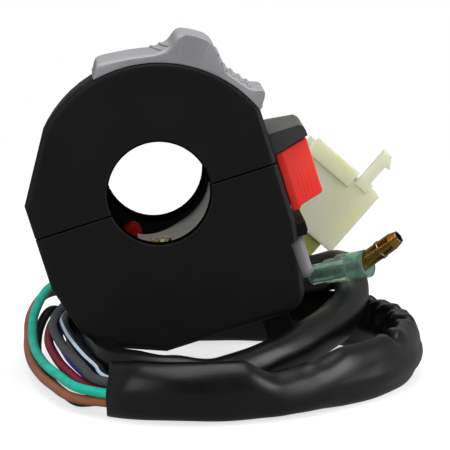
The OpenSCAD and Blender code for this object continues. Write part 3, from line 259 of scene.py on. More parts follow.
def sheath_ring(i, shrink):
    """One ring of the sheath: an oval that follows the wires inside it, dented by the folds."""
    s = i * sheath_step
    w, h, lift = between(SECTION, sheath_place[i])
    _, side, up = sheath_frames[i]
    # The cut end is turned to face -X, and slopes back above and below
    turned = max(0.0, 1 - (sheath_len - s) / CUT_TURN)
    side = side.lerp(Vector((0, 1, 0)), turned).normalized()
    loose = min(1.0, s / TIGHT_START, (sheath_len - s) / TIGHT_END + TIGHT_LEAST)
    ring = []
    for k in range(SHEATH_SIDES):
        a = 2 * math.pi * k / SHEATH_SIDES
        x, z = w * math.cos(a), h * math.sin(a)
        # Wires under the skin, lying in a slow twist, and slack between them
        swell = sum(tall * math.cos(waves * a + twist * s + start)
                    for tall, waves, twist, start in WIRE_WAVES)
        swell += sum(tall * math.sin(waves * a + twist * s + start)
                     for tall, waves, twist, start in SLACK_WAVES)
        for at, width, depth, turn in FOLD_S:
            ds = abs(s - at - FOLD_SLANT * math.sin(2 * (a - turn)))
            if ds < 3 * width:
                face = max(0.0, math.cos(a - turn)) ** FOLD_ROUND
                swell -= depth * face * max(0.0, 1 - ds / width) ** FOLD_SHARP
                beside = (ds - FOLD_SWELL_AT * width) / (FOLD_SWELL_WIDTH * width)
                swell += FOLD_SWELL * depth * face * math.exp(-beside ** 2)
        grow = 1 + (loose * swell - shrink) / max(math.hypot(x, z), 1e-6)
        x, z = x * grow, z * grow + lift
        far = math.hypot(x, z)
        keep = min(max(far, NEAREST - shrink), FURTHEST) / far
        slope = turned * (CUT_SLOPE[0] * max(z, 0.0) + CUT_SLOPE[1] * max(-z, 0.0)) * keep
        ring.append(sheath_path[i] + side * (x * keep) + up * (z * keep) + Vector((slope, 0, 0)))
    # It lies on the floor where it would sink in
    return [Vector((p.x, p.y, max(p.z, FLOOR_Z / MM + FLOOR_GAP + shrink / 2))) for p in ring]


last = len(sheath_path) - 1
mouth_from = last - round(MOUTH / sheath_step)
outer = [sheath_ring(i, 0.0) for i in range(last + 1)]
lip = [[p + Vector((-LIP_OUT, 0, 0)) for p in sheath_ring(last, inset)] for inset in LIP_IN]
inner = [sheath_ring(i, WALL) for i in range(last, mouth_from - 1, -1)]
along = [i * sheath_step * MM for i in range(last + 1)]
sheath = skin("sheath", outer + lip + inner,
              along + [along[-1]] * 2 + [along[i] for i in range(last, mouth_from - 1, -1)])
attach(sheath, "housing")
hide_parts("harness_sheath")

# Wires
WIRE_R = 1.05
WIRE_SIDES = 14
WIRE_STEP = 1.1
WIRE_PASSES = 8
WIRE_INSIDE = (8.0, 4.0)
wires = {}
for colour, route in WIRES.items():
    # The wire starts inside the sheath's mouth, and keeps its place in the bundle there
    offset = Vector(route[0]) - sheath_path[last]
    back = [tuple(sheath_path[last - round(d / sheath_step)] + offset) for d in WIRE_INSIDE]
    path, _, length = dense(back + list(route), WIRE_STEP, WIRE_PASSES)
    turns = frames(path)
    rings = []
    for p, (_, side, up) in zip(path, turns):
        rings.append([p + side * (WIRE_R * math.cos(2 * math.pi * k / WIRE_SIDES))
                      + up * (WIRE_R * math.sin(2 * math.pi * k / WIRE_SIDES)) for k in range(WIRE_SIDES)])
    step = length / (len(path) - 1)
    wire = skin("wire_" + colour + "_insulation", rings, [i * step * MM for i in range(len(path))])
    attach(wire, "housing")
    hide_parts("wire_" + colour)
    wires[colour] = wire


# Moulded caps
LEAN = 17.5
NEAR_Y = -21.0
CROWN_R = 28.6
EDGE_ROUND = 1.6
CROWN_DRAFT = 0.95 / 19.4


def housing_point(u, y, v):
    """A point of the housing's own frame, in metres of the part's frame."""
    c, n = math.cos(math.radians(LEAN)), math.sin(math.radians(LEAN))
    return ((u * c - v * n) * MM, y * MM, (u * n + v * c) * MM)


def shell(name, top, bottom, crease):
    """A closed mesh between two grids of points with the same rows and columns."""
    rows, cols = len(top), len(top[0])
    verts = [p for row in top for p in row] + [p for row in bottom for p in row]
    base = rows * cols
    faces = []
    for i in range(rows - 1):
        for j in range(cols - 1):
            a, b, c, d = i * cols + j, i * cols + j + 1, (i + 1) * cols + j + 1, (i + 1) * cols + j
            faces.append((a, b, c, d))
            faces.append((base + d, base + c, base + b, base + a))
    rim = list(range(cols)) + [i * cols + cols - 1 for i in range(1, rows)]
    rim += [(rows - 1) * cols + j for j in range(cols - 2, -1, -1)]
    rim += [i * cols for i in range(rows - 2, 0, -1)]
    for a, b in zip(rim, rim[1:] + rim[:1]):
        faces.append((b, a, base + a, base + b))
    mesh = bpy.data.meshes.new(name)
    mesh.from_pydata(verts, [], faces)
    mesh.polygons.foreach_set("use_smooth", [True] * len(mesh.polygons))
    mesh.set_sharp_from_angle(angle=math.radians(crease))
    mesh.update()
    obj = bpy.data.objects.new(name, mesh)
    scene.collection.objects.link(obj)
    return obj


# Light slider: angle from its middle in degrees, radius at its far side and at its near face in mm
SLIDER_TOP = [
    (-40.0, 28.95, 28.75), (-38.6, 29.9, 29.5), (-37.2, 31.2, 30.9), (-36.0, 31.75, 31.6),
    (-34.6, 31.6, 31.4), (-32.6, 30.5, 30.1), (-30.0, 29.85, 29.5), (-26.0, 29.75, 29.4),
    (-20.0, 29.75, 29.4), (-17.5, 30.2, 29.8), (-15.4, 30.95, 30.6), (-12.5, 32.4, 32.0),
    (-10.5, 33.7, 33.3), (-8.7, 34.4, 34.1), (-6.5, 34.75, 34.6),
    (-2.0, 34.8, 34.8), (1.2, 34.75, 34.75), (2.1, 34.65, 33.9), (3.0, 34.5, 32.6), (4.0, 34.0, 31.7),
    (5.6, 32.2, 30.7), (7.4, 31.3, 30.0), (8.6, 30.9, 29.8), (11.6, 30.3, 29.55), (14.0, 30.05, 29.45),
    (20.0, 30.1, 29.4), (27.0, 30.3, 29.5), (33.0, 30.75, 29.7), (35.4, 30.9, 29.9), (36.6, 30.7, 29.9),
    (38.0, 29.9, 29.5), (39.2, 29.1, 28.9), (40.0, 28.85, 28.75)]
SLIDER_EASE = (-0.8, -0.4, 0.0, 0.4, 0.8)
SLIDER_MIDDLE = 62.0 + LEAN
SLIDER_SPAN = 40
SLIDER_ROWS = 160
SLIDER_CREASE = 38
SLIDER_Y = (-20.6, -3.6)
# Rounding of its near and far edges, and the least thickness of its skin
SLIDER_SOFT = 2.2
SLIDER_FAR_ROUND = 0.5
SLIDER_SKIN = 0.15
# Gap over the crown, at its rounded edge and behind it
CROWN_GAP = (0.22, 0.15)
# Columns of the slider's mesh, from its near face and from its far side
SLIDER_NEAR_STEPS = (0, 0.03, 0.12, 0.28, 0.5, 0.8, 1.2, 1.7, 2.2, 4, 7, 10, 13)
SLIDER_FAR_STEPS = (0.5, 0.3, 0.15, 0.05, 0)
# Rows of grip pips: angle at the far side and at the near side
PIP_ROWS = [(12.6, 9.4), (9.0, 6.6), (-12.6, -12.6), (-15.4, -15.4), (-18.4, -18.4),
            (-22.5, -22.5), (-26.5, -26.5), (-30.5, -30.5)]
PIP_Y = (-4.8, -18.6)
PIPS = 9
PIP_SIZE = (0.5, 0.42)
PIP_RINGS = 4
PIP_SIDES = 10


def slider_radius(angle, column):
    """Radius of the slider's top at an angle, eased over most of a degree to each side."""
    total = 0.0
    for ease in SLIDER_EASE:
        x = min(max(angle + ease, SLIDER_TOP[0][0]), SLIDER_TOP[-1][0])
        for a, b in zip(SLIDER_TOP, SLIDER_TOP[1:]):
            if x <= b[0]:
                total += a[column] + (b[column] - a[column]) * (x - a[0]) / (b[0] - a[0])
                break
    return total / len(SLIDER_EASE)


def crown_radius(y):
    """Radius of the housing's crown under the slider, over its rounded near edge and its draft."""
    back = y - NEAR_Y
    if back < EDGE_ROUND:
        return CROWN_R - EDGE_ROUND * (1 - math.sqrt(1 - (1 - back / EDGE_ROUND) ** 2)) + CROWN_GAP[0]
    return CROWN_R - CROWN_DRAFT * (back - EDGE_ROUND) + CROWN_GAP[1]


slider_y = [SLIDER_Y[0] + d for d in SLIDER_NEAR_STEPS]
slider_y += [SLIDER_Y[1] - d for d in SLIDER_FAR_STEPS]
top, bottom = [], []
for n in range(SLIDER_ROWS + 1):
    offset = -SLIDER_SPAN + 2 * SLIDER_SPAN * n / SLIDER_ROWS
    far_r, near_r = slider_radius(offset, 1), slider_radius(offset, 2)
    a = math.radians(SLIDER_MIDDLE + offset)
    top_row, bottom_row = [], []
    for y in slider_y:
        t = 1 - min(1.0, (y - SLIDER_Y[0]) / SLIDER_SOFT)
        r = near_r + (far_r - near_r) * math.sqrt(1 - t * t)
        t = max(0.0, 1 - (SLIDER_Y[1] - y) / SLIDER_FAR_ROUND)
        r -= SLIDER_FAR_ROUND * (1 - math.sqrt(1 - t * t))
        low = crown_radius(y)
        r = max(r, low + SLIDER_SKIN)
        top_row.append((r * math.cos(a) * MM, y * MM, r * math.sin(a) * MM))
        bottom_row.append((low * math.cos(a) * MM, y * MM, low * math.sin(a) * MM))
    top.append(top_row)
    bottom.append(bottom_row)
slider = shell("light_slider_cap", top, bottom, SLIDER_CREASE)
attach(slider, "light_slider")
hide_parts("light_switch_knob")

pip_verts, pip_faces = [], []
for far_angle, near_angle in PIP_ROWS:
    for k in range(PIPS):
        f = k / (PIPS - 1)
        offset = far_angle + (near_angle - far_angle) * f
        y = PIP_Y[0] + (PIP_Y[1] - PIP_Y[0]) * f
        a = math.radians(SLIDER_MIDDLE + offset)
        radial, along_arc = Vector((math.cos(a), 0, math.sin(a))), Vector((-math.sin(a), 0, math.cos(a)))
        middle = radial * slider_radius(offset, 1) + Vector((0, y, 0))
        base = len(pip_verts)
        for ring in range(1, PIP_RINGS + 1):
            tilt = math.pi * ring / (PIP_RINGS + 1)
            for turn in range(PIP_SIDES):
                b = 2 * math.pi * turn / PIP_SIDES
                flat = along_arc * math.cos(b) + Vector((0, 1, 0)) * math.sin(b)
                pip_verts.append((middle + radial * (PIP_SIZE[1] * math.cos(tilt))
                                  + flat * (PIP_SIZE[0] * math.sin(tilt))) * MM)
        for ring in range(PIP_RINGS - 1):
            for turn in range(PIP_SIDES):
                n = (turn + 1) % PIP_SIDES
                a0 = base + ring * PIP_SIDES
                b0 = a0 + PIP_SIDES
                pip_faces.append((a0 + turn, b0 + turn, b0 + n, a0 + n))
        foot = base + (PIP_RINGS - 1) * PIP_SIDES
        pip_faces.append(tuple(base + turn for turn in range(PIP_SIDES)))
        pip_faces.append(tuple(foot + turn for turn in range(PIP_SIDES - 1, -1, -1)))
pip_mesh = bpy.data.meshes.new("light_slider_pips")
pip_mesh.from_pydata(pip_verts, [], pip_faces)
pip_mesh.polygons.foreach_set("use_smooth", [True] * len(pip_mesh.polygons))
pip_mesh.update()
pips = bpy.data.objects.new("light_slider_pips", pip_mesh)
scene.collection.objects.link(pips)
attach(pips, "light_slider")

# Stop knob: its near face is ridged, and falls back beside the housing's wall
KNOB_U = (26.65, 34.1)
KNOB_Y = (-15.0, 5.0)
KNOB_ROUND = 0.25
# Its lower edge: the foot, the step up from it and the slope after that
KNOB_FOOT = -13.7
KNOB_STEP_U = (28.15, 28.85)
KNOB_STEP = 0.8
KNOB_SLOPE = 1.3
# Its upper edge at the wall, and that edge's rise
KNOB_TOP = -0.7
KNOB_RISE = 1.7
# Width and bend of its trimmed outer corners, and how far back and how wide it falls back at the wall
KNOB_TRIM = (0.7, 0.9)
KNOB_BACK = (0.5, 1.5)
KNOB_RIDGES = (29.4, 30.2, 31.0, 31.8)
RIDGE_DEPTH = 0.07
RIDGE_WIDTH = 0.16
# Margin of the ridges to the edges, and the width of their fading
RIDGE_FADE = (0.4, 0.8)
KNOB_COLUMNS = 96
KNOB_ROWS = 40
KNOB_CREASE = 40


def knob_low(u):
    """Lower edge of the stop knob: a foot beside the wall, then a slope."""
    start, end = KNOB_STEP_U
    if u < start:
        return KNOB_FOOT
    if u < end:
        return KNOB_FOOT + KNOB_STEP * (u - start) / (end - start)
    return KNOB_FOOT + KNOB_STEP + KNOB_SLOPE * (u - end) / (KNOB_U[1] - end)


def knob_high(u):
    """Upper edge of the stop knob, sloped up to its outer side."""
    return KNOB_TOP + KNOB_RISE * (u - KNOB_U[0]) / (KNOB_U[1] - KNOB_U[0])


near, far = [], []
for n in range(KNOB_COLUMNS + 1):
    u = KNOB_U[0] + (KNOB_U[1] - KNOB_U[0]) * n / KNOB_COLUMNS
    low, high = knob_low(u), knob_high(u)
    trim = max(0.0, u - (KNOB_U[1] - KNOB_TRIM[0])) ** 2 * KNOB_TRIM[1]
    near_row, far_row = [], []
    for k in range(KNOB_ROWS + 1):
        f = 0.5 - 0.5 * math.cos(math.pi * k / KNOB_ROWS)
        v = low + trim + (high - low - 2 * trim) * f
        edge = min(KNOB_U[1] - u, v - low - trim, high - trim - v)
        y = KNOB_Y[0] + KNOB_BACK[0] * max(0.0, 1 - (u - KNOB_U[0]) / KNOB_BACK[1])
        inside = min(1.0, max(0.0, edge) / KNOB_ROUND)
        y += KNOB_ROUND * (1 - math.sqrt(1 - (1 - inside) ** 2))
        # The ridges end before the edges and fade out over the upper half
        fade = min(1.0, max(0.0, edge - RIDGE_FADE[0]) / RIDGE_FADE[1]) * min(1.0, max(0.0, 1.5 - 2 * f))
        y += fade * sum(RIDGE_DEPTH * math.exp(-((u - c) / RIDGE_WIDTH) ** 2) for c in KNOB_RIDGES)
        near_row.append(housing_point(u, y, v))
        far_row.append(housing_point(u, KNOB_Y[1], v))
    near.append(near_row)
    far.append(far_row)
knob = shell("stop_knob_cap", near, far, KNOB_CREASE)
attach(knob, "stop_slider")
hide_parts("kill_switch_knob")


# Materials
def rgb(text):
    """Linear colour of a hexadecimal one."""
    parts = [int(text[i:i + 2], 16) / 255 for i in (1, 3, 5)]
    return tuple(c / 12.92 if c <= 0.04045 else ((c + 0.055) / 1.055) ** 2.4 for c in parts) + (1.0,)


class Tree:
    """A material's node tree, with short calls to add and join nodes."""

    def __init__(self, name):
        self.material = bpy.data.materials.new(name)
        self.material.use_nodes = True
        self.nodes = self.material.node_tree.nodes
        self.links = self.material.node_tree.links
        self.nodes.clear()

    def add(self, kind, values=None, **settings):
        node = self.nodes.new(kind)
        for key, value in settings.items():
            setattr(node, key, value)
        for key, value in (values or {}).items():
            if isinstance(value, bpy.types.NodeSocket):
                self.links.new(value, node.inputs[key])
            else:
                node.inputs[key].default_value = value
        return node

    def noise(self, at, scale, detail=3.0, rough=0.55, stretch=None):
        if stretch:
            at = self.add("ShaderNodeMapping", {"Vector": at, "Scale": stretch}).outputs["Vector"]
        return self.add("ShaderNodeTexNoise", {
            "Vector": at, "Scale": scale, "Detail": detail, "Roughness": rough}).outputs["Fac"]

    def ramp(self, fac, low, high, out_low=0.0, out_high=1.0):
        return self.add("ShaderNodeMapRange", {
            "Value": fac, "From Min": low, "From Max": high,
            "To Min": out_low, "To Max": out_high}).outputs["Result"]

    def math(self, kind, a, b):
        return self.add("ShaderNodeMath", {0: a, 1: b}, operation=kind).outputs["Value"]

    def mix(self, fac, a, b):
        node = self.add("ShaderNodeMix", data_type="RGBA")
        for socket, value in ((node.inputs[0], fac), (node.inputs[6], a), (node.inputs[7], b)):
            if isinstance(value, bpy.types.NodeSocket):
                self.links.new(value, socket)
            else:
                socket.default_value = value
        return node.outputs[2]

    def bump(self, height, distance, normal=None):
        values = {"Height": height, "Distance": distance, "Strength": 1.0}
        if normal is not None:
            values["Normal"] = normal
        return self.add("ShaderNodeBump", values).outputs["Normal"]

    def close(self, values):
        shader = self.add("ShaderNodeBsdfPrincipled", values)
        out = self.add("ShaderNodeOutputMaterial")
        self.links.new(shader.outputs["BSDF"], out.inputs["Surface"])
        return self.material


def where(tree):
    """The place on the part, in metres."""
    return tree.add("ShaderNodeTexCoord").outputs["Object"]


def edges(tree, radius, low=0.02, high=0.22):
    """Rounded normal, and a mask of the edges, from the shape's own corners."""
    round_normal = tree.add("ShaderNodeBevel", {"Radius": radius}, samples=6).outputs["Normal"]
    flat = tree.add("ShaderNodeNewGeometry").outputs["Normal"]
    dot = tree.add("ShaderNodeVectorMath", {0: round_normal, 1: flat},
                   operation="DOT_PRODUCT").outputs["Value"]
    return round_normal, tree.ramp(tree.math("SUBTRACT", 1.0, dot), low, high)


def across_housing(tree, at, start, end):
    """Mask that rises from 0 to 1 between two places across the housing, in mm."""
    lean = math.radians(LEAN)
    u = tree.add("ShaderNodeVectorMath", {0: at, 1: (math.cos(lean), 0.0, math.sin(lean))},
                 operation="DOT_PRODUCT").outputs["Value"]
    return tree.ramp(u, start * MM, end * MM)


def plastic(name, base, deep, edge, rough=(0.42, 0.58), specular=0.4, grain=2600, grain_depth=0.00004,
            radius=0.00035, wear=0.6, scratches=0.25, subsurface=0.0, zone=None, zone_up_highlight=False,
            zone_side=None, bore_shade=None):
    """Moulded plastic: fine spark grain, cloudy tone, faint scratches and edges rubbed lighter.

    A zone gives another tone between two places across the housing, or, when asked, a painted highlight: the
    zone's tone only on what faces up there, with zone_side for the rest of it. Within the radius given for
    the bore about the bar the plastic is painted dull black without specular: a painted shade inside the
    bore."""
    tree = Tree(name)
    at = where(tree)
    cloud = tree.noise(at, 90, 4.0)
    tone = tree.mix(tree.ramp(cloud, 0.3, 0.7), rgb(deep), rgb(base))
    fine = tree.noise(at, grain, 2.0, 0.6)
    if zone:
        part = across_housing(tree, at, zone[0], zone[1])
        # Painted highlight: where asked, the zone's tone goes only on faces that turn up, as if lit from
        # above
        if zone_up_highlight:
            up = tree.add("ShaderNodeSeparateXYZ", {
                "Vector": tree.add("ShaderNodeNewGeometry").outputs["Normal"]}).outputs["Z"]
            if zone_side:
                tone = tree.mix(part, tone, rgb(zone_side))
            part = tree.math("MULTIPLY", part, tree.ramp(up, 0.5, 0.8))
        tone = tree.mix(part, tone, rgb(zone[2]))
    scratch = tree.ramp(tree.noise(at, 420, 6.0, 0.7, (1.0, 0.12, 1.6)), 0.62, 0.78)
    tone = tree.mix(tree.math("MULTIPLY", scratch, scratches), tone, rgb(edge))
    normal, rim = edges(tree, radius)
    rub = tree.math("MULTIPLY", rim, tree.ramp(tree.noise(at, 700, 4.0), 0.35, 0.65, wear * 0.45, wear))
    tone = tree.mix(rub, tone, rgb(edge))
    both = tree.math("ADD", tree.math("MULTIPLY", fine, 0.5), tree.math("MULTIPLY", cloud, 0.5))
    roughness = tree.ramp(both, 0.35, 0.65, rough[0], rough[1])
    # Painted shade: near black and without specular inside the bore's radius
    if bore_shade:
        place = tree.add("ShaderNodeSeparateXYZ", {"Vector": at})
        square = tree.math("ADD", tree.math("MULTIPLY", place.outputs["X"], place.outputs["X"]),
                           tree.math("MULTIPLY", place.outputs["Z"], place.outputs["Z"]))
        outside = tree.ramp(square, (bore_shade - 0.1 * MM) ** 2, bore_shade ** 2)
        tone = tree.mix(outside, rgb("#060606"), tone)
        specular = tree.math("MULTIPLY", outside, specular)
    values = {"Base Color": tone, "Roughness": roughness, "Specular IOR Level": specular,
              "Normal": tree.bump(fine, grain_depth, normal)}
    if subsurface:
        values["Subsurface Weight"] = subsurface
        values["Subsurface Radius"] = (0.004, 0.0035, 0.002)
        values["Subsurface Scale"] = 0.6
    return tree.close(values)


def metal(name, base, tarnish, rough=(0.22, 0.4), brush=(1.0, 0.05, 1.0), stains=0.5, radius=0.0002,
          pits=0.00002, metallic=1.0, rubbed_and_highlight=0.35):
    """Metal: drawn lines, stains of tarnish, and brighter edges: rubbed metal and a painted highlight."""
    tree = Tree(name)
    at = where(tree)
    lines = tree.noise(at, 2400, 4.0, 0.65, brush)
    spots = tree.noise(at, 260, 6.0, 0.65)
    tone = tree.mix(tree.ramp(spots, 0.42, 0.68, 0.0, stains), rgb(base), rgb(tarnish))
    normal, rim = edges(tree, radius)
    # Brighter edges: rubbed metal, and at a high share a painted highlight
    tone = tree.mix(tree.math("MULTIPLY", rim, rubbed_and_highlight), tone, rgb("#f4f2ea"))
    both = tree.math("ADD", tree.math("MULTIPLY", lines, 0.6), tree.math("MULTIPLY", spots, 0.4))
    roughness = tree.ramp(both, 0.35, 0.65, rough[0], rough[1])
    return tree.close({"Base Color": tone, "Metallic": metallic, "Roughness": roughness,
                       "Normal": tree.bump(lines, pits, normal)})


def chromate(name):
    """Yellow chromate on zinc with patches of gold and rose, small spots of painted highlight and painted
    dark reflection, and painted highlight on its edges.
    """
    tree = Tree(name)
    at = where(tree)
    painted_glint = tree.noise(at, 620, 2.0)
    film = tree.noise(at, 420, 3.0)
    tone = tree.mix(tree.ramp(film, 0.4, 0.55), rgb("#a98d3e"), rgb("#e3d08a"))
    tone = tree.mix(tree.ramp(film, 0.56, 0.64, 0.0, 0.8), tone, rgb("#b8455a"))
    # Painted dark reflections and painted highlights in small spots, for the screw's glints
    tone = tree.mix(tree.ramp(painted_glint, 0.46, 0.38, 0.0, 0.92), tone, rgb("#120f0c"))
    tone = tree.mix(tree.ramp(painted_glint, 0.56, 0.62, 0.0, 0.9), tone, rgb("#fbf7ea"))
    # Painted highlight on its edges
    normal, rim = edges(tree, 0.0002)
    tone = tree.mix(tree.math("MULTIPLY", rim, 0.5), tone, rgb("#eee6c8"))
    return tree.close({"Base Color": tone, "Metallic": 0.5,
                       "Roughness": tree.ramp(film, 0.3, 0.7, 0.22, 0.38),
                       "Normal": tree.bump(tree.noise(at, 2200, 3.0), 0.00002, normal)})


def nylon(name, base, deep, thick, subsurface):
    """Natural nylon: cloudy, waxy and a little see-through, with flow lines from the gate."""
    tree = Tree(name)
    at = where(tree)
    cloud = tree.noise(at, 70, 3.0)
    flow = tree.noise(at, 160, 3.0, 0.5, (1.0, 1.0, 0.25))
    tone = tree.mix(tree.ramp(cloud, 0.32, 0.68), rgb(deep), rgb(base))
    tone = tree.mix(tree.ramp(flow, 0.55, 0.75, 0.0, 0.45), tone, rgb(thick))
    normal, rim = edges(tree, 0.0004)
    tone = tree.mix(tree.math("MULTIPLY", rim, 0.4), tone, rgb("#f3f5e4"))
    fine = tree.noise(at, 2600, 2.0)
    return tree.close({
        "Base Color": tone, "Roughness": tree.ramp(fine, 0.3, 0.7, 0.28, 0.42), "Specular IOR Level": 0.45,
        "Subsurface Weight": subsurface, "Subsurface Radius": (0.004, 0.004, 0.0022), "Subsurface Scale": 0.8,
        "Normal": tree.bump(fine, 0.00002, normal)})


def clear_vinyl(name, base, deep):
    """Soft see-through vinyl of the bullet's sleeve, with a waxy bloom and painted highlights on its edges.
    """
    tree = Tree(name)
    at = where(tree)
    cloud = tree.noise(at, 190, 4.0)
    tone = tree.mix(tree.ramp(cloud, 0.32, 0.68), rgb(deep), rgb(base))
    normal, rim = edges(tree, 0.0004)
    # Painted highlight: edges mixed towards near white
    tone = tree.mix(tree.math("MULTIPLY", rim, 0.6), tone, rgb("#f2fff9"))
    return tree.close({
        "Base Color": tone, "Roughness": tree.ramp(cloud, 0.3, 0.7, 0.05, 0.12), "IOR": 1.42,
        "Transmission Weight": 0.85, "Subsurface Weight": 0.3, "Subsurface Radius": (0.002, 0.003, 0.0025),
        "Subsurface Scale": 0.6, "Normal": tree.bump(tree.noise(at, 900, 3.0), 0.00003, normal)})


def vinyl_sheath(name):
    """Satin black vinyl: drawn lines along it, fine specks, a faint bloom and slack waves."""
    tree = Tree(name)
    at = where(tree)
    uv = tree.add("ShaderNodeUVMap", uv_map="turn_length").outputs["UV"]
    drawn = tree.noise(uv, 14, 4.0, 0.6, (9.0, 22.0, 1.0))
    bloom = tree.noise(at, 150, 5.0, 0.62)
    fine = tree.noise(at, 1500, 4.0, 0.6)
    tone = tree.mix(tree.ramp(bloom, 0.35, 0.7), rgb("#050506"), rgb("#0a0a0b"))
    tone = tree.mix(tree.ramp(fine, 0.62, 0.75, 0.0, 0.1), tone, rgb("#2c2c30"))
    slack = tree.noise(at, 55, 1.0, 0.4)
    height = tree.math("ADD", tree.math("MULTIPLY", drawn, 0.03), slack)
    return tree.close({
        "Base Color": tone, "Roughness": tree.ramp(bloom, 0.3, 0.7, 0.27, 0.35), "Specular IOR Level": 0.5,
        "Normal": tree.bump(height, 0.0008)})


def insulation(name, base, deep, stripe=None):
    """Vinyl insulation of a wire, with its marker stripe where it has one."""
    tree = Tree(name)
    at = where(tree)
    uv = tree.add("ShaderNodeUVMap", uv_map="turn_length").outputs["UV"]
    cloud = tree.noise(at, 240, 4.0)
    tone = tree.mix(tree.ramp(cloud, 0.35, 0.7), rgb(deep), rgb(base))
    if stripe:
        turn = tree.add("ShaderNodeSeparateXYZ", {"Vector": uv}).outputs["X"]
        ragged = tree.math("ADD", turn, tree.math("MULTIPLY", tree.noise(uv, 60, 3.0), 0.03))
        band = tree.math("MULTIPLY", tree.ramp(ragged, 0.33, 0.35), tree.ramp(ragged, 0.46, 0.44))
        tone = tree.mix(band, tone, rgb(stripe))
    drawn = tree.noise(uv, 12, 3.0, 0.6, (6.0, 40.0, 1.0))
    return tree.close({
        "Base Color": tone, "Roughness": tree.ramp(cloud, 0.3, 0.7, 0.3, 0.44), "Specular IOR Level": 0.3,
        "Normal": tree.bump(drawn, 0.00006)})


def rubber(name, base, deep):
    """Black rubber with a dull, slightly dusty skin."""
    tree = Tree(name)
    at = where(tree)
    dust = tree.noise(at, 320, 6.0, 0.65)
    tone = tree.mix(tree.ramp(dust, 0.4, 0.72), rgb(base), rgb(deep))
    normal, rim = edges(tree, 0.0004)
    tone = tree.mix(tree.math("MULTIPLY", rim, 0.35), tone, rgb("#4c4b49"))
    return tree.close({"Base Color": tone, "Roughness": tree.ramp(dust, 0.3, 0.7, 0.62, 0.8),
                       "Specular IOR Level": 0.3, "Normal": tree.bump(dust, 0.00006, normal)})


def phenolic(name):
    """Brown phenolic board: paper fibres under resin."""
    tree = Tree(name)
    at = where(tree)
    fibre = tree.noise(at, 900, 6.0, 0.7, (0.35, 1.0, 1.4))
    tone = tree.mix(tree.ramp(fibre, 0.35, 0.68), rgb("#4f2f1a"), rgb("#8a5a34"))
    normal, rim = edges(tree, 0.0002)
    tone = tree.mix(tree.math("MULTIPLY", rim, 0.4), tone, rgb("#b98a5c"))
    return tree.close({"Base Color": tone, "Roughness": tree.ramp(fibre, 0.3, 0.7, 0.3, 0.5),
                       "Normal": tree.bump(fibre, 0.00003, normal)})


# Inside this radius the halves are painted near black with no specular: a painted shade of the bore
BORE_SHADE = 11.45 * MM
housing = plastic("housing_black", "#101011", "#0b0b0c", "#343436", rough=(0.46, 0.6), specular=0.3, wear=0.5,
                  bore_shade=BORE_SHADE)
# Hood beyond the seam: a lighter tone on its sides, and a painted highlight lighter still on what faces up
upper = plastic("housing_black_hood", "#101011", "#0b0b0c", "#3a3a3c", rough=(0.46, 0.6), specular=0.3,
                wear=0.5, zone=(26.4, 26.6, "#6c6d66"), zone_up_highlight=True, zone_side="#39393b", bore_shade=BORE_SHADE)
# Slider: painted highlight, a lighter grey on every face that turns up
slider_grey = plastic("slider_grey", "#8e8e92", "#7c7c80", "#cfcfd1", rough=(0.36, 0.52), specular=0.35,
                      wear=0.5, zone=(-60.0, -59.0, "#b2b2b4"), zone_up_highlight=True)
# Start button: painted light and shade, darker at its left and lighter towards its right edge across the
# housing
button_grey = plastic("button_grey", "#6a6a6e", "#5e5e62", "#b4b4b8", rough=(0.34, 0.5), specular=0.35,
                      wear=0.6, zone=(24.2, 27.0, "#b0b0b4"))
stop_red = plastic("stop_red", "#ff463e", "#ff3028", "#ff9c94", rough=(0.26, 0.4), specular=0.4, wear=0.35,
                   scratches=0.1, subsurface=0.1)
carrier = plastic("carrier_nylon", "#ddd8c8", "#cbc3ad", "#f0ecdf", rough=(0.35, 0.5), subsurface=0.2)
cap_red = plastic("cap_red", "#b8121c", "#8c0c14", "#e05a5a", rough=(0.22, 0.34), specular=0.5, wear=0.4)
copper = metal("contact_copper", "#c98a5c", "#7c4a2c", stains=0.6)
brass = metal("turned_brass", "#c6a14a", "#7a5f22", rough=(0.16, 0.32), brush=(0.2, 1.0, 0.2), stains=0.45)
spring_steel = metal("spring_steel", "#b9bcc0", "#6c6f74", rough=(0.18, 0.3))
ball_steel = metal("ball_steel", "#cdd0d4", "#9fa3a8", rough=(0.06, 0.12), stains=0.2, pits=0.000004)
zinc = metal("zinc_steel", "#b4b7b4", "#7d807c", rough=(0.28, 0.44))
# Plate: a high share of near white on its edges, a painted highlight along its rims; its stains are tarnish
plate = metal("plate_steel", "#c9c7be", "#8f8c84", rough=(0.26, 0.42), brush=(1.0, 0.06, 1.0), stains=0.35,
              radius=0.0004, metallic=0.6, rubbed_and_highlight=0.9)
yellow_zinc = chromate("yellow_zinc")
board = phenolic("board_phenolic")
connector = nylon("connector_nylon", "#fbffe0", "#f5facb", "#e9f0b6", subsurface=0.85)
olive = nylon("connector_olive", "#cdd072", "#b8bb58", "#a0a348", subsurface=0.3)
sleeve = clear_vinyl("sleeve_vinyl", "#e2fff2", "#bff3dc")
grommet = rubber("grommet_rubber", "#161616", "#302f2d")
sheath.data.materials.append(vinyl_sheath("sheath_vinyl"))

INSULATION = {
    "green": ("#21d2b6", "#1ab79d", None), "brown": ("#a5674b", "#93573b", None),
    "black": ("#121214", "#0c0c0e", None), "red": ("#8a0f2c", "#760b24", None),
    "blue": ("#1c44d8", "#1638c0", None), "grey": ("#4c4c4f", "#404042", None),
    "light_blue": ("#1f2228", "#17191d", "#c6d8e8")}
for colour, (base, deep, stripe) in INSULATION.items():
    wires[colour].data.materials.append(insulation("wire_" + colour, base, deep, stripe))

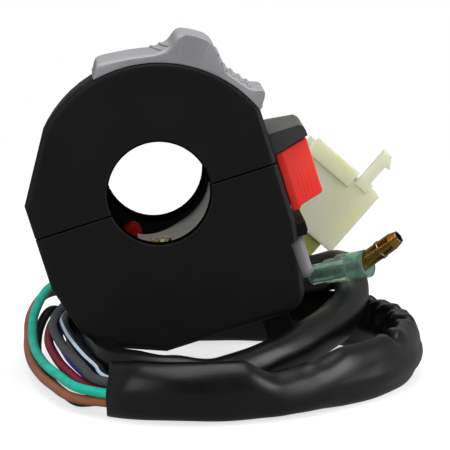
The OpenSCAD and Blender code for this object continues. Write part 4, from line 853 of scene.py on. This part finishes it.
slider.data.materials.append(slider_grey)
pip_mesh.materials.append(slider_grey)
knob.data.materials.append(stop_red)
FINISH = {
    "upper_housing": upper, "lower_housing": housing, "housing_screws": zinc, "screw_inserts": brass,
    "cover_plate": plate, "cover_plate_screw": yellow_zinc, "splice_cap": cap_red, "outlet_grommet": grommet,
    "light_switch_knob": slider_grey, "light_switch_carrier": carrier, "light_bridge_contact": copper,
    "light_bridge_spring": spring_steel, "light_detent_ball": ball_steel, "light_detent_spring": spring_steel,
    "light_contact_board": board, "light_board_rivets": brass, "light_board_screws": zinc,
    "kill_switch_knob": stop_red, "kill_switch_carrier": carrier, "kill_bridge_contact": copper,
    "kill_bridge_spring": spring_steel, "kill_detent_ball": ball_steel, "kill_detent_spring": spring_steel,
    "kill_contact_board": board, "kill_board_rivets": brass, "start_button": button_grey,
    "start_bridge_contact": copper, "start_retainer": zinc, "start_return_spring": spring_steel,
    "start_contact_board": board, "start_board_rivets": brass, "connector_housing": connector,
    "connector_retainer": olive, "connector_terminals": brass, "bullet_sleeve": sleeve,
    "bullet_terminal": brass}
for node, material in FINISH.items():
    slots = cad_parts[node].material_slots
    for slot in slots:
        slot.material = material
    if not slots:
        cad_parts[node].data.materials.append(material)

# Floor, background and light
FLOOR_HALF = 6.0
# Where the floor starts and ends turning from lit to glowing, behind the part
FLOOR_FADE = (0.05, 0.4)
FLOOR_TONE = 0.45
FLOOR_GLOW = (0.7, 1.0)
# Share of the floor that reflections see
FLOOR_MIRRORED = 0.22
# The room in reflections on the camera's side and behind the part, and its even light
ROOM = (0.1, 0.24)
ROOM_LIGHT = 0.42
floor_mesh = bpy.data.meshes.new("floor")
half = FLOOR_HALF
floor_mesh.from_pydata([(-half, -half, FLOOR_Z), (half, -half, FLOOR_Z), (half, half, FLOOR_Z),
                        (-half, half, FLOOR_Z)], [], [(0, 1, 2, 3)])
floor = bpy.data.objects.new("floor", floor_mesh)
scene.collection.objects.link(floor)
tree = Tree("floor_white")
path_info = tree.add("ShaderNodeLightPath")
through = tree.math("MAXIMUM", path_info.outputs["Is Glossy Ray"], path_info.outputs["Is Transmission Ray"])
seen = tree.math("MAXIMUM", path_info.outputs["Is Camera Ray"], through)
# It glows to plain white with the distance
depth = tree.add("ShaderNodeSeparateXYZ", {
    "Vector": tree.add("ShaderNodeNewGeometry").outputs["Position"]}).outputs["Y"]
away = tree.ramp(depth, FLOOR_FADE[0], FLOOR_FADE[1])
# Reflections see less of the floor than the camera does
dimmed = tree.ramp(path_info.outputs["Is Glossy Ray"], 0.0, 1.0, 1.0, FLOOR_MIRRORED)
shade = tree.math("MULTIPLY", dimmed, tree.ramp(away, 0.0, 1.0, FLOOR_TONE, 0.0))
diffuse = tree.add("ShaderNodeBsdfDiffuse", {
    "Color": tree.add("ShaderNodeCombineColor", {0: shade, 1: shade, 2: shade}).outputs["Color"]})
shine = tree.math("MULTIPLY", seen, tree.ramp(away, 0.0, 1.0, FLOOR_GLOW[0], FLOOR_GLOW[1]))
glow = tree.add("ShaderNodeEmission", {
    "Color": (1, 1, 1, 1), "Strength": tree.math("MULTIPLY", dimmed, shine)})
both = tree.add("ShaderNodeAddShader")
tree.links.new(diffuse.outputs[0], both.inputs[0])
tree.links.new(glow.outputs[0], both.inputs[1])
out = tree.add("ShaderNodeOutputMaterial")
tree.links.new(both.outputs[0], out.inputs["Surface"])
floor_mesh.materials.append(tree.material)

world = bpy.data.worlds.new("studio")
scene.world = world
world.use_nodes = True
nodes, links = world.node_tree.nodes, world.node_tree.links
nodes.clear()
path_info = nodes.new("ShaderNodeLightPath")
coord = nodes.new("ShaderNodeTexCoord")
split = nodes.new("ShaderNodeSeparateXYZ")
links.new(coord.outputs["Generated"], split.inputs[0])
# The room that shows in reflections is grey, and darker on the camera's side
depth = nodes.new("ShaderNodeMapRange")
depth.interpolation_type = "SMOOTHSTEP"
for key, value in (("From Min", -0.75), ("From Max", 0.15), ("To Min", ROOM[0]), ("To Max", ROOM[1])):
    depth.inputs[key].default_value = value
links.new(split.outputs["Y"], depth.inputs["Value"])
room = nodes.new("ShaderNodeBackground")
links.new(depth.outputs["Result"], room.inputs["Strength"])
light = nodes.new("ShaderNodeBackground")
light.inputs["Strength"].default_value = ROOM_LIGHT
white = nodes.new("ShaderNodeBackground")
white.inputs["Strength"].default_value = 1.0
for shader in (room, light, white):
    shader.inputs["Color"].default_value = (1, 1, 1, 1)
reflect = nodes.new("ShaderNodeMath")
reflect.operation = "MAXIMUM"
links.new(path_info.outputs["Is Glossy Ray"], reflect.inputs[0])
links.new(path_info.outputs["Is Transmission Ray"], reflect.inputs[1])
first = nodes.new("ShaderNodeMixShader")
links.new(reflect.outputs[0], first.inputs[0])
links.new(light.outputs[0], first.inputs[1])
links.new(room.outputs[0], first.inputs[2])
second = nodes.new("ShaderNodeMixShader")
links.new(path_info.outputs["Is Camera Ray"], second.inputs[0])
links.new(first.outputs[0], second.inputs[1])
links.new(white.outputs[0], second.inputs[2])
out = nodes.new("ShaderNodeOutputWorld")
links.new(second.outputs[0], out.inputs["Surface"])


def softbox(name, place, aim, size, power, mirrored=True):
    """A soft light, and whether reflections show it."""
    data = bpy.data.lights.new(name, "AREA")
    data.shape = "RECTANGLE"
    data.size, data.size_y = size
    data.energy = power
    lamp = bpy.data.objects.new(name, data)
    lamp.location = place
    lamp.rotation_euler = (Vector(aim) - Vector(place)).to_track_quat("-Z", "Y").to_euler()
    lamp.visible_glossy = mirrored
    scene.collection.objects.link(lamp)


softbox("key_top", (0.05, -0.12, 0.75), (0.0, 0.0, -0.02), (0.8, 0.6), 3.2)
softbox("fill_left", (-0.75, -0.55, 0.3), (0.0, 0.0, 0.0), (0.5, 0.7), 1.6)
softbox("fill_right", (0.9, -0.14, 0.25), (0.0, 0.0, -0.01), (0.4, 0.6), 3.1)
softbox("front", (-0.1, -1.2, 0.4), (0.0, 0.0, 0.0), (0.9, 0.6), 4.9, mirrored=False)

# Bring the view layer up to date
bpy.context.view_layer.update()
